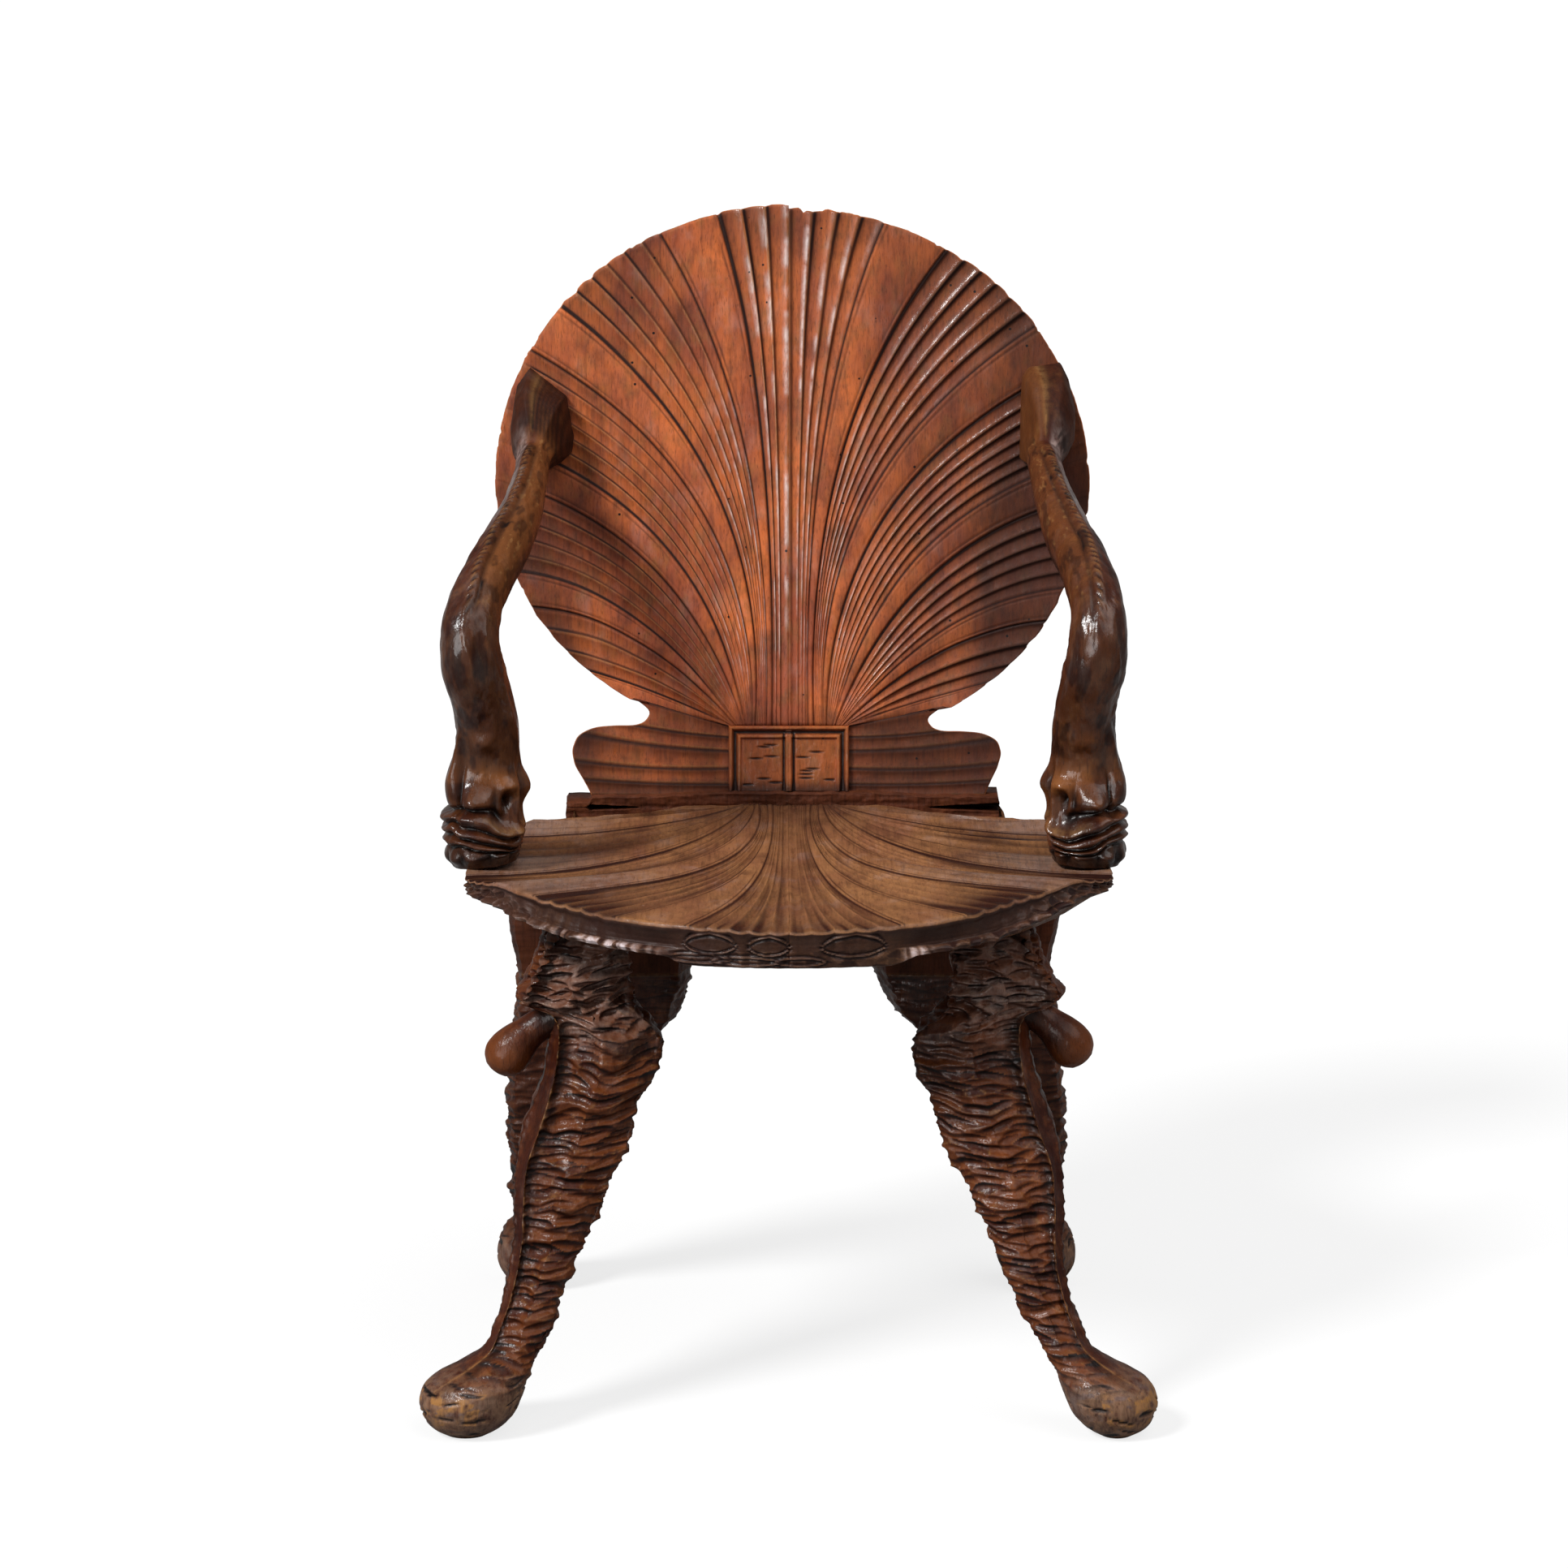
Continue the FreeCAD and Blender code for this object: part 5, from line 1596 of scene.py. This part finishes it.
    def dress(self, leg_finish: Material, hip_finish: Material) -> None:
        """Build both legs and their hip blocks in place of their nodes.

        Args:
            leg_finish: material of the legs.
            hip_finish: material of the hip blocks.
        """
        for side in Side:
            parts = [self.shank(side, 0, self.seam)]
            if self.knob:
                parts.append(self.knob_skin(side))
            node = f"{self.row}_{side.word}"
            show(Skin.joined(parts), f"rock_leg_{node}", f"{node}_leg", leg_finish)
            top = self.shank(side, self.seam, self.stations[-1][0])
            show(top, f"hip_{node}", f"{node}_hip_block", hip_finish)


FRONT_LEG = RockLeg(
    row="front",
    stations=(
        (0, 232, 246, 262, -232, -194), (24, 217, 248, 262, -230, -190), (53, 204, 242, 250, -226, -182),
        (80, 193, 233, 239, -220, -174), (100, 185, 225, 230, -212, -166), (121, 177, 219, 225, -208, -158),
        (154, 161, 213, 220, -202, -147), (185, 148, 211.5, 219.5, -196, -136),
        (213, 135, 209, 218, -192, -126), (238, 125, 200, 212, -188, -117),
        (257, 121, 194, 205, -186, -112), (283, 108, 187, 196, -183, -105),
        (303, 104, 184, 192, -181, -101), (316, 105, 183, 191, -180, -99), (328, 117, 185, 193, -179, -97),
        (334, 124, 190, 202, -178, -95), (339, 127, 204, 216, -178, -94), (343, 128, 211, 219, -177, -94),
        (350, 129, 209, 214, -177, -94), (361, 130, 203, 208, -176, -93), (374, 128, 197, 202, -174, -93),
        (388, 127, 192, 197, -173, -92), (402, 128, 187, 193, -172, -92),
    ),
    foot=(
        (0, 258, -215, 17, 15), (6, 258, -215, 27, 25), (16, 256.5, -215, 36, 33), (31, 254, -215, 41, 37),
        (45, 247, -213, 39, 35), (54, 236, -209, 31.5, 30), (63, 226, -205, 25.5, 26),
        (80, 214, -198, 23, 24), (100, 206, -192, 23, 24), (402, 206, -192, 23, 24),
    ),
    seam=344.0,
    ripple=(1.0, 1.0, 0.8, 0.05, 0.5, 0.5, 0.9),
    lopsided=(
        (0, 7, 0), (50, 7, -2), (80, 4, -3), (100, 1, -3), (135, -1, -3), (170, 0, 0), (210, -3, 0),
        (300, -3, 0), (330, 0, 0), (402, 0, 0),
    ),
    knob=True,
    hip_ripple=1.0,
    seed=101,
)

REAR_LEG = RockLeg(
    row="rear",
    stations=(
        (0, 212, 226, 238, 188, 142), (22, 206, 228, 238, 188, 144), (62, 194, 230, 240, 184, 136),
        (100, 182, 231, 240, 175, 124), (150, 158, 231, 241, 173, 110), (190, 131, 229.5, 239.5, 172, 102),
        (215, 121, 227.5, 238, 172, 99), (240, 104, 224.5, 235.5, 171, 96),
        (258, 92, 222, 233.5, 171, 94.5), (276, 88, 219, 231, 170, 93), (300, 82, 219, 231, 169, 91),
        (330, 76, 226, 236, 166, 89), (350, 72, 228, 237, 165, 88), (382, 72, 220, 229, 162, 87),
        (402, 72, 217, 226, 160, 86),
    ),
    foot=(
        (0, 221, 164, 15, 14), (6, 221, 164, 23, 22), (16, 220.5, 164, 31, 30), (31, 219, 164, 35, 34),
        (45, 217, 163, 34, 32), (63, 214, 161, 27, 27), (80, 211, 158, 24, 25), (100, 208, 154, 24, 25),
        (402, 208, 154, 24, 25),
    ),
    seam=298.0,
    ripple=(1.0, 1.0, 0.8, 0.7, 0.9, 0.4, 0.7),
    lopsided=(
        (0, -4, -4), (200, 0, -4.5), (235, 5, -5), (255, 0, -5), (272, -6, -7), (330, -9, -9),
        (365, -5, -5), (402, -4, -4),
    ),
    knob=False,
    hip_ripple=0.25,
    seed=151,
)


@dataclass
class ArmWork:
    """How an arm is carved, by row and by column; shares run from 0 to 1."""

    front: Array  # angle from the front in radians, the outer side negative
    s: Array  # distance from the tail
    z: Array  # height of the middle line
    girth: Array  # mean half size of the section, by row
    off: Array  # angle from the keel
    aside: Array  # distance from the keel
    head: Array  # share of the head
    lower: Array  # share of the neck's lower half and the head
    heaps: list[Array]  # nearness to each of the head's bumps and hollows
    keeled: Array  # share of the roped keel
    gap: Array  # share of the notches between the rope's strands
    rope: Array  # nearness to the rope's line
    wavy: Array  # height, bent to the waves of the lips
    jaw: Array  # share of the lips and the jaw
    clefts: Array  # nearness to the clefts between the lips
    knuckle: Array  # rounding of the jaw's lobes
    waist: Array  # nearness to the hollow above the lips
    worked: Array  # share of the gouge's strokes
    depth: Array  # depth of the stroke
    arris: Array  # nearness to an arris between two strokes
    tone: Array  # the stroke's own tone


@dataclass(frozen=True)
class DolphinArm:
    """Dolphin for an arm: flukes on the back, a keeled body, and its head down on the seat. Sizes in mm."""

    rows: int = 430  # steps along the body
    columns: int = 168  # steps round it
    fluke_depth: float = 62.0  # how far the tail flukes stand out from the back
    fluke_edge: float = 12.0  # thickness of the flukes at their edge
    keel_pitch: float = 7.5  # spacing of the notches on the roped keel
    back_lean: float = 0.173  # slope of the back that the flukes lie on

    SEED = 201
    STROKES = Gouging(pitch_u=9.0, pitch_v=40.0, length=7.0, height=34.0, depth=1.0, lean=0.08)
    # Middle line and half sizes from tail to snout: X, Y, Z, half width, half depth, and how much further out
    # the right arm stands there.
    PATH = (
        (208, 237, 728, 22, 21, 0), (209, 224, 728, 19, 19, 0), (213, 208, 727.5, 16.5, 16.5, 0),
        (215, 178, 725.5, 14, 15.5, 0), (216, 142, 718, 14, 17, 0), (220, 90, 700, 16.5, 20, 1.5),
        (229.5, 38, 680, 19.5, 22.5, 1), (242, -10, 661, 20.5, 23.5, -0.5),
        (252.5, -46, 641, 21.5, 24.5, -5), (256.5, -66, 616, 24, 25, -8.5), (254, -68, 594, 25, 24.5, -8.5),
        (248, -62, 572, 24.5, 23.5, -7), (244, -54, 548, 25, 23.5, -5.5), (244, -47, 524, 25.5, 26, -5.5),
        (245, -42, 506, 26, 31, -6), (245.5, -40, 490, 27, 36, -6.5), (245.5, -39, 475, 27, 38, -7),
        (247.5, -38, 460, 30, 41, -7), (248.5, -37, 444, 30, 40, -6), (247, -37, 429.5, 27, 36, -5),
    )
    # Corners of the flukes about the middle line, from below round the outer side and the tip: inwards, up.
    FLUKES = {
        Side.LEFT: (
            (-0.01, -16), (-16, -13), (-23.5, -0.3), (-27, 21), (-23.4, 51), (-12.7, 66), (18.2, 41.6),
            (24.4, 6.8), (22.7, -5.6), (14, -13.5), (0.01, -16),
        ),
        Side.RIGHT: (
            (-0.01, -16), (-16, -13), (-27, -3), (-34.5, 10.4), (-36, 31.9), (-30, 57), (-23.5, 70),
            (4, 66), (9, 58), (10, 38), (10.5, 8), (11, -10), (0.01, -16),
        ),
    }
    # Bumps and hollows of the head: radians from the front (outer side negative), Z, rise, and both spreads.
    BUMPS = (
        (-0.05, 541, 3.2, 0.45, 8), (-0.95, 526, 4, 0.16, 20), (-1.15, 497, 9.5, 0.46, 25),
        (-0.22, 488, 9, 0.30, 10), (0.72, 502, 6, 0.36, 9), (1.00, 482, 5.5, 0.15, 22),
        (1.55, 493, 10, 0.20, 14), (-0.66, 494, -4.2, 0.08, 22), (0.22, 488, -2.2, 0.11, 13),
        (0.60, 487, -9, 0.15, 8), (1.27, 490, -5.5, 0.09, 18),
    )
    # Folds of the lips: Z, rise, spread; and the clefts between them.
    LIPS = ((468, 7.5, 4.2), (458.5, 5, 3.2), (450.5, 4, 2.6))
    CLEFTS = (463.2, 454.6, 446.6)

    def work(self, side: Side, path: Array, run: Array) -> ArmWork:
        """Lay the keel, the head's folds and the gouge's strokes over the plain body.

        Args:
            side: which arm.
            path: middle line and half sizes.
            run: distance of each row from the tail.

        Returns:
            The work, by row and by column.
        """
        seed = self.SEED + side.value
        front, s = np.meshgrid(np.linspace(-math.pi, math.pi, self.columns, endpoint=False), run)
        z = np.broadcast_to(path[:, 2:3], s.shape)
        girth = (path[:, 3:4] + path[:, 4:5]) * 0.5
        head = ramp(z, 525, -18) * ramp(s, 380, 30)
        off = front - np.radians(-4 - 8 * ramp(s, 40, 70) + 9 * ramp(s, 220, 90))
        aside = off * girth
        keeled = ramp(s, 62, 30) * ramp(s, 345, -50)
        beat = (s + 4 * noise(seed, s / 26)) / self.keel_pitch + aside / 7
        wavy = z + 3.4 * np.sin(2.6 * front + 0.6 * side.value) + 3.2 * noise(seed + 2, front * 2.4, z / 14)
        waist = bell(wavy - 476.5, 3.4) * ramp(front, -1.9, 0.4) * ramp(front, 0.7, -0.4) * head
        strokes = self.STROKES.cut(front * 24 + 4 * noise(seed + 3, s / 22), s, seed)
        lower = ramp(s, 330, 30)
        places = [(bell(front - bump[0], bump[3]), bell(z - bump[1], bump[4])) for bump in self.BUMPS]
        return ArmWork(
            front, s, z, girth, off, aside, head, lower,
            heaps=[lower * around * along for around, along in places],
            keeled=keeled,
            gap=ramp(np.abs(beat % 1 - 0.5), 0.22, 0.14),
            rope=bell(aside - 0.8 * noise(seed + 11, s / 6), 2.3) * keeled,
            wavy=wavy,
            jaw=ramp(front, -2.1, 0.5) * ramp(front, 1.75, -0.5) * head,
            clefts=sum(bell(wavy - place, 1.5) for place in self.CLEFTS),
            knuckle=np.abs(np.sin(front * 5.2 + 0.7 * side.value)) ** 0.6,
            waist=waist,
            worked=ramp(s, 290, 60) * ease(0.5 + 0.9 * noise(seed + 4, front * 1.6, s / 30)),
            depth=strokes[0],
            arris=strokes[1],
            tone=strokes[2],
        )

    def relief(self, side: Side, work: ArmWork) -> Array:
        """Add up keel, head, lips, jaw and strokes.

        Args:
            side: which arm.
            work: how the arm is carved.

        Returns:
            How far each point stands out from the plain oval.
        """
        seed = self.SEED + side.value
        front, s, z, aside, jaw = work.front, work.s, work.z, work.aside, work.jaw
        swell = work.keeled * (3.2 * bell(aside, 5) - 1.5 * bell(aside - 6, 2.2))
        swell = swell - 1.6 * work.rope * work.gap
        for bump, near in zip(self.BUMPS, work.heaps):
            swell += bump[2] * near
        folds = sum(rise * bell(work.wavy - place, spread) for place, rise, spread in self.LIPS)
        knuckles = work.knuckle * bell(z - 438, 5) * jaw
        swell += jaw * (folds - 3 * work.clefts) + 4.5 * knuckles - 4 * work.waist
        scarred = rough(seed + 5, front * 2.2, s / 26)
        swell = swell - work.depth * work.worked * (1 - 0.5 * jaw) + 1.3 * scarred
        return swell + 0.9 * work.worked * (1 - 0.6 * jaw) * rough(seed + 13, front * 4, s / 8)

    def paint(self, side: Side, work: ArmWork, flare: Array, side_way: Array) -> Paint:
        """Dirt and painted shade, wear, amber, painted reflection and highlights, and dull places of one arm.

        Args:
            side: which arm.
            work: how the arm is carved.
            flare: share of the tail flukes.
            side_way: distance sideways from the middle line.

        Returns:
            The paint, by row and by column.
        """
        seed = self.SEED + side.value
        left = side is Side.LEFT
        front, s, z, off, jaw, lower = work.front, work.s, work.z, work.off, work.jaw, work.lower
        inner = ramp(off, 0.05, 0.3) * ramp(off, 2, -0.6)
        outer = ease((-0.1 - off) / 0.3) * ramp(off, -1.9, 0.6)
        neck = ramp(s, 285, 70)
        body = (1 - neck) * ramp(s, 40, 20)
        raised = sum(near for bump, near in zip(self.BUMPS, work.heaps) if bump[2] > 0)
        sunk = sum(near for bump, near in zip(self.BUMPS, work.heaps) if bump[2] < 0)
        wing = ease(flare * 4)
        reeds = np.sin(np.pi * side_way / 3.2) ** 2
        bright = np.zeros(s.shape) if left else 0.7 * wing * (off > 0)
        mottle = ramp(rough(seed + 12, front * 2.6, s / 17), -0.05, 0.3)
        shade = neck * (0.4 + 0.32 * mottle) * (1 - 0.36 * work.head)
        # The flukes are darker, with painted shade between the reeds on their inner side.
        shade += (wing - bright) * (0.45 + 0.35 * reeds * (off > 0))
        # Painted shade in the head's hollows, in the clefts between the lips and in the waist above them.
        shade += 0.6 * sunk + 0.6 * jaw * work.clefts + 0.6 * work.waist
        # Painted shade under the head.
        shade += 0.35 * work.head * ramp(z, 456, -14)
        # Painted shade between the lobes of the jaw.
        shade += 0.6 * jaw * (1 - work.knuckle) * bell(z - 437, 5)
        # Painted shade in the notches of the roped keel and in the line beside it.
        shade += 0.75 * work.rope * work.gap + 0.55 * work.keeled * bell(work.aside - 6.5, 2.4)
        # Painted shade on the body's underside; the raised bumps of the head are lighter, a painted
        # highlight.
        shade += body * 0.6 * ramp(np.abs(off), 1.7, 0.5) - 0.1 * raised
        shade += 0.2 * work.worked * (work.tone - 0.5)
        shade = shade - 0.35 * lower * bell(front - 0.35, 0.6) * bell(z - 510, 12)
        shade += 0.55 * body * ramp(rough(seed + 8, front * 3, s / 16), 0.08, 0.3)
        golden = 0.3 * work.rope * (1 - work.gap) + 0.5 * wing * bell(np.degrees(off), 3)
        golden += 0.35 * body * inner * ramp(rough(seed + 9, front * 5, s / 9), 0.32, 0.15)
        # Worn gold and a painted highlight along the crest of the upper lip.
        golden += jaw * 0.5 * bell(work.wavy - 470, 1.8) * ramp(front, -0.2, 0.4)
        golden += 0.12 * work.worked * work.arris * (1 - jaw)
        amber = (0.6 if left else 0.25) * inner * body + 0.6 * bright + 0.2 * neck * (1 - mottle)
        # Amber on the cheek, and on the raised bumps as a painted highlight.
        amber += lower * (0.6 * bell(front - 0.7, 0.5) * bell(z - 504, 14) + 0.15 * raised)
        amber += 0.5 * lower * bell(front + 0.05, 0.5) * bell(z - 516, 9)
        # Painted reflection: pale lilac-grey on the outer face of the body.
        bloom = 0.75 * outer * body * ramp(s, 240, -60)
        waxless = (0.85 if left else 0.5) * bell(s - 260, 50)
        dull = wing + ramp(s, 130, -40) + waxless + 0.5 * body * inner
        values = {DIRT_AND_SHADE: shade, WORN: golden, TONE: amber, BLOOM_AND_SHEEN: bloom, DULL: dull}
        return {kind: held(value) for kind, value in values.items()}

    def skin(self, side: Side) -> Skin:
        """Sweep the body: oval sections along the middle line, opening into the flukes at the tail.

        Args:
            side: which arm.

        Returns:
            The closed skin.
        """
        table = np.array(self.PATH)
        table[:, 0] += table[:, 5] * (side is Side.RIGHT)
        keys = run_along(table[:, :3])
        run = np.linspace(0, keys[-1], self.rows)
        path = through(keys, table, run)
        heading = unit(np.gradient(path[:, :3], axis=0))
        level = unit(np.array([1, 0, 0]) - heading * heading[:, :1])
        dorsal = np.cross(heading, level)
        work = self.work(side, path, run)
        cosine, sine = np.cos(work.front + math.pi / 2), np.sin(work.front + math.pi / 2)
        square = 0.94 - 0.2 * work.head
        wide = path[:, 3:4] * np.sign(cosine) * np.abs(cosine) ** square
        deep = path[:, 4:5] * np.sign(sine) * np.abs(sine) ** square
        fluke = held((work.s - self.fluke_edge) / (self.fluke_depth - self.fluke_edge))
        flare = 1 - fluke**1.5
        corners = np.array(self.FLUKES[side])
        steps = np.linspace(0, len(corners) - 1, 400)
        inward, above = (np.interp(steps, np.arange(len(corners)), column) for column in corners.T)
        reach = np.interp(work.front, np.arctan2(inward, above), np.hypot(inward, above))
        stretch = (1 + self.relief(side, work) / work.girth) * (1 - flare)
        side_way = wide * stretch + reach * cosine * flare
        up_way = deep * stretch + reach * sine * flare
        loops = path[:, None, :3] + level[:, None] * side_way[..., None] + dorsal[:, None] * up_way[..., None]
        leaning = held(1 - work.s / 30)
        loops[..., 1] += self.back_lean * (loops[..., 2] - path[:, 2:3]) * leaning
        loops[..., 0] *= side.value
        return Skin.from_loops(loops, self.paint(side, work, flare, side_way))

    def dress(self, finish: Material) -> None:
        """Build both arms in place of their nodes."""
        for side in Side:
            show(self.skin(side), f"dolphin_{side.word}", f"{side.word}_dolphin_arm", finish)


@dataclass(frozen=True)
class RearLedge:
    """Rough-sawn rail behind the seat that carries the back. Sizes in mm."""

    left_x: float = -191.0  # X of its left end
    right_x: float = 180.0  # X of its right end
    front_y: float = 169.0  # Y of its front face
    rear_y: float = 212.0  # Y of its rear face
    under_z: float = 414.0  # Z of its underside
    top_z: float = 437.0  # Z of its top under the back's middle
    sag: float = 3.0  # how much lower the top lies at the ends
    # X from and to, and height, of each wedge-shaped split in the front face.
    slits: tuple[tuple[float, float, float], ...] = ((-128.0, -174.0, 5.0), (120.0, 190.0, 8.0))
    slit_z: float = 425.0  # Z of the splits
    slit_depth: float = 16.0  # depth of the splits
    seed: int = 301  # first of its seeds

    def slit_share(self, x: Array, z: Array) -> Array:
        """Cut the slits: each is a wedge that opens from its start, and closes again inside the rail.

        Args:
            x: X on the front face.
            z: Z on the front face.

        Returns:
            Share of slit.
        """
        cut = np.zeros(z.shape)
        for start, stop, height in self.slits:
            along = (x - start) / (stop - start)
            half = 0.5 * height * held(along) ** 0.7
            if self.left_x < stop < self.right_x:
                half = half * ramp(along, 1, -0.1)
            cut = np.maximum(cut, ease((half + 0.3 - np.abs(z - self.slit_z)) / 0.9) * ease(along * 20))
        return cut

    def skin(self) -> Skin:
        """Rectangular sections along X, their front face split and roughened.

        Returns:
            The closed skin.
        """
        share, x = np.meshgrid(np.linspace(0, 1, 40), np.linspace(self.left_x, self.right_x, 300))
        top = self.top_z - self.sag * ramp(np.abs(x), 70, 60) + 0.7 * noise(self.seed, x / 9)
        top = top - 5 * ease((-168 - x) / 3)
        z = self.under_z + (top - self.under_z) * share
        cut = self.slit_share(x, z)
        saw = 0.9 * rough(self.seed + 1, x / 6, z / 5) + 0.6 * noise(self.seed + 2, x / 30, z / 3)
        front = np.stack([x, self.front_y + saw + self.slit_depth * cut, z], axis=-1)
        rear = front[:, ::-1].copy()
        rear[..., 1] = self.rear_y + 0.5 * rough(self.seed + 3, x / 12, rear[..., 2] / 8)
        loops = np.hstack([front, rear])
        ragged = ease(1 - np.minimum(loops[..., 0] - self.left_x, self.right_x - loops[..., 0]) / 6)
        torn = rough(self.seed + 4, loops[..., 1] / 7, loops[..., 2] / 5)
        loops[..., 0] += np.sign(loops[..., 0]) * ragged * 2 * torn
        # Darker where the saw marks sink in, and painted shade in the splits.
        shade = np.hstack([held(0.48 + 0.2 * saw + cut), np.full(z.shape, 0.3)])
        return Skin.from_loops(loops, flat_paint(shade.shape, shade))

    def dress(self, finish: Material) -> None:
        """Build the rail in place of its node."""
        show(self.skin(), "rear_rail", "rear_ledge", finish)


@dataclass(frozen=True)
class Studio:
    """White studio: camera at the photograph's place, three soft lamps in front and a pale floor."""

    camera: tuple[float, float, float] = (-0.0041, -4.039, 1.3818)  # place of the camera in metres
    pitch: float = 0.2189  # how far it looks down, in radians
    lens: float = 115.758  # focal length in mm
    sensor: float = 36.0  # width of the camera's sensor in mm
    room: float = 0.16  # strength of the white room on matt wood
    mirrored: float = 0.19  # strength of the room in the polish
    paper: float = 0.25  # share of light that the floor throws back
    glow: float = 0.775  # light of its own that the floor shows the camera
    floor_half: float = 40.0  # half width of the floor in metres

    # Far soft lamps: degrees to the right of straight in front, above the floor and in width, strength, and
    # whether the lamp lights matt wood as well as showing in the polish.
    LAMPS = {
        "key_softbox": (-48.0, 42.0, 16.0, 3.0, True),
        "fill_softbox": (54.0, 54.0, 60.0, 1.35, True),
        "low_softbox": (-30.0, 10.0, 36.0, 1.4, False),
    }
    WHITE = (1.0, 1.0, 1.0, 1.0)

    def build(self) -> None:
        """Set the camera, the lamps, the room and the floor."""
        self.set_camera()
        self.hang_lamps()
        self.light_room()
        self.lay_floor()

    def set_camera(self) -> None:
        """Place the camera and keep the colours as they are."""
        scene = bpy.context.scene
        data = bpy.data.cameras.new("photo_camera")
        data.lens = self.lens
        data.sensor_width = self.sensor
        data.clip_end = 100.0
        camera = bpy.data.objects.new("photo_camera", data)
        camera.location = self.camera
        camera.rotation_euler = (math.pi / 2 - self.pitch, 0.0, 0.0)
        scene.collection.objects.link(camera)
        scene.camera = camera
        scene.view_settings.view_transform = "Standard"

    def hang_lamps(self) -> None:
        """Hang the lamps, each turned towards the chair."""
        for name, (bearing, height, width, power, lit) in self.LAMPS.items():
            data = bpy.data.lights.new(name, "SUN")
            data.angle = math.radians(width)
            data.energy = power
            lamp = bpy.data.objects.new(name, data)
            bpy.context.scene.collection.objects.link(lamp)
            lamp.rotation_euler = (math.radians(90.0 - height), 0.0, math.radians(bearing))
            lamp.visible_diffuse = lit

    def light_room(self) -> None:
        """Make the room white to the camera, and dimmer as a light and in the polish."""
        world = bpy.data.worlds.new("white_room")
        tree = empty_tree(world)
        rays = add_node(tree, "ShaderNodeLightPath").outputs
        seen = reckon(tree, "MAXIMUM", rays["Is Camera Ray"], rays["Is Transmission Ray"])
        dim = remap(tree, rays["Is Glossy Ray"], (0.0, 1.0), (self.room, self.mirrored))
        strength = reckon(tree, "MAXIMUM", seen, dim)
        glow = add_node(tree, "ShaderNodeBackground", {}, {"Color": self.WHITE, "Strength": strength})
        add_node(tree, "ShaderNodeOutputWorld", {}, {"Surface": glow.outputs[0]})
        bpy.context.scene.world = world

    def lay_floor(self) -> None:
        """Lay the pale floor: white to the camera except where the chair's shadow falls."""
        half = self.floor_half
        corners = [(-half, -half, 0), (half, -half, 0), (half, half, 0), (-half, half, 0)]
        mesh = bpy.data.meshes.new("floor")
        mesh.from_pydata(corners, [], [(0, 1, 2, 3)])
        floor = bpy.data.objects.new("floor", mesh)
        bpy.context.scene.collection.objects.link(floor)
        material = bpy.data.materials.new("white_paper_floor")
        tree = empty_tree(material)
        rays = add_node(tree, "ShaderNodeLightPath").outputs
        grey = (self.paper, self.paper, self.paper, 1.0)
        paper = add_node(tree, "ShaderNodeBsdfDiffuse", {}, {"Color": grey})
        lift = reckon(tree, "MULTIPLY", rays["Is Camera Ray"], self.glow)
        glow = add_node(tree, "ShaderNodeEmission", {}, {"Color": self.WHITE, "Strength": lift})
        both = add_node(tree, "ShaderNodeAddShader", {}, {0: paper.outputs[0], 1: glow.outputs[0]})
        add_node(tree, "ShaderNodeOutputMaterial", {}, {"Surface": both.outputs[0]})
        mesh.materials.append(material)


BACK_WALNUT = Walnut(
    name="waxed_walnut_back",
    base="#d87034",
    cloud="#a04c2a",
    dark="#26100a",
    worn="#c08a50",
    warm="#96602a",
    haze_and_sheen="#ecd4ce",
    coat=1.0,
    wormed=0.4,
)
SEAT_WALNUT = Walnut(
    name="sat_on_walnut_seat",
    base="#a06e46",
    cloud="#86563b",
    dark="#28120d",
    worn="#b07842",
    warm="#966842",
    haze_and_sheen="#e6d8da",
    coat=0.15,
    turn=(90.0, 0.0, 0.0),
)
LEG_WALNUT = Walnut(
    name="rock_carved_walnut",
    base="#50220d",
    cloud="#3c150a",
    dark="#100503",
    worn="#b07c46",
    warm="#8a4a20",
    haze_and_sheen="#a08a80",
    gloss=0.46,
    lustre=0.13,
    chatter=1.0,
)
ARM_WALNUT = Walnut(
    name="handled_walnut_arm",
    base="#582a14",
    cloud="#451d10",
    dark="#160906",
    worn="#a87a48",
    warm="#845028",
    haze_and_sheen="#a8918a",
    gloss=0.36,
    coat=0.95,
    lustre=0.12,
)
HIP_WALNUT = Walnut(
    name="plain_walnut_hip",
    base="#76402a",
    cloud="#5a2e1e",
    dark="#190c08",
    worn="#8e6646",
    warm="#74401f",
    haze_and_sheen="#5a4640",
    coat=0.0,
    lustre=0.06,
)
BEECH = Plain(name="turned_beech_dowel", light="#c9a77a", deep="#b08a5c", line=0.0008, metal=0.0, gloss=0.55)
STEEL = Plain(name="brushed_steel_screw", light="#b8b8b8", deep="#8c8c8c", line=0.0004, metal=1.0, gloss=0.32)


def main() -> None:
    """Load the frame, dress every node and set the studio."""
    logging.basicConfig(level=logging.INFO, format="%(message)s")
    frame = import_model()
    rock, plain = LEG_WALNUT.build(), HIP_WALNUT.build()
    ShellBack().dress(BACK_WALNUT.build())
    ShellSeat().dress(SEAT_WALNUT.build())
    FRONT_LEG.dress(rock, rock)
    REAR_LEG.dress(rock, plain)
    DolphinArm().dress(ARM_WALNUT.build())
    RearLedge().dress(plain)
    beech, steel = BEECH.build(), STEEL.build()
    for name, node in frame["nodes"].items():
        node.data.materials.clear()
        node.data.materials.append(steel if name.endswith("screws") else beech)
    Studio().build()


if __name__ == "__main__":
    main()
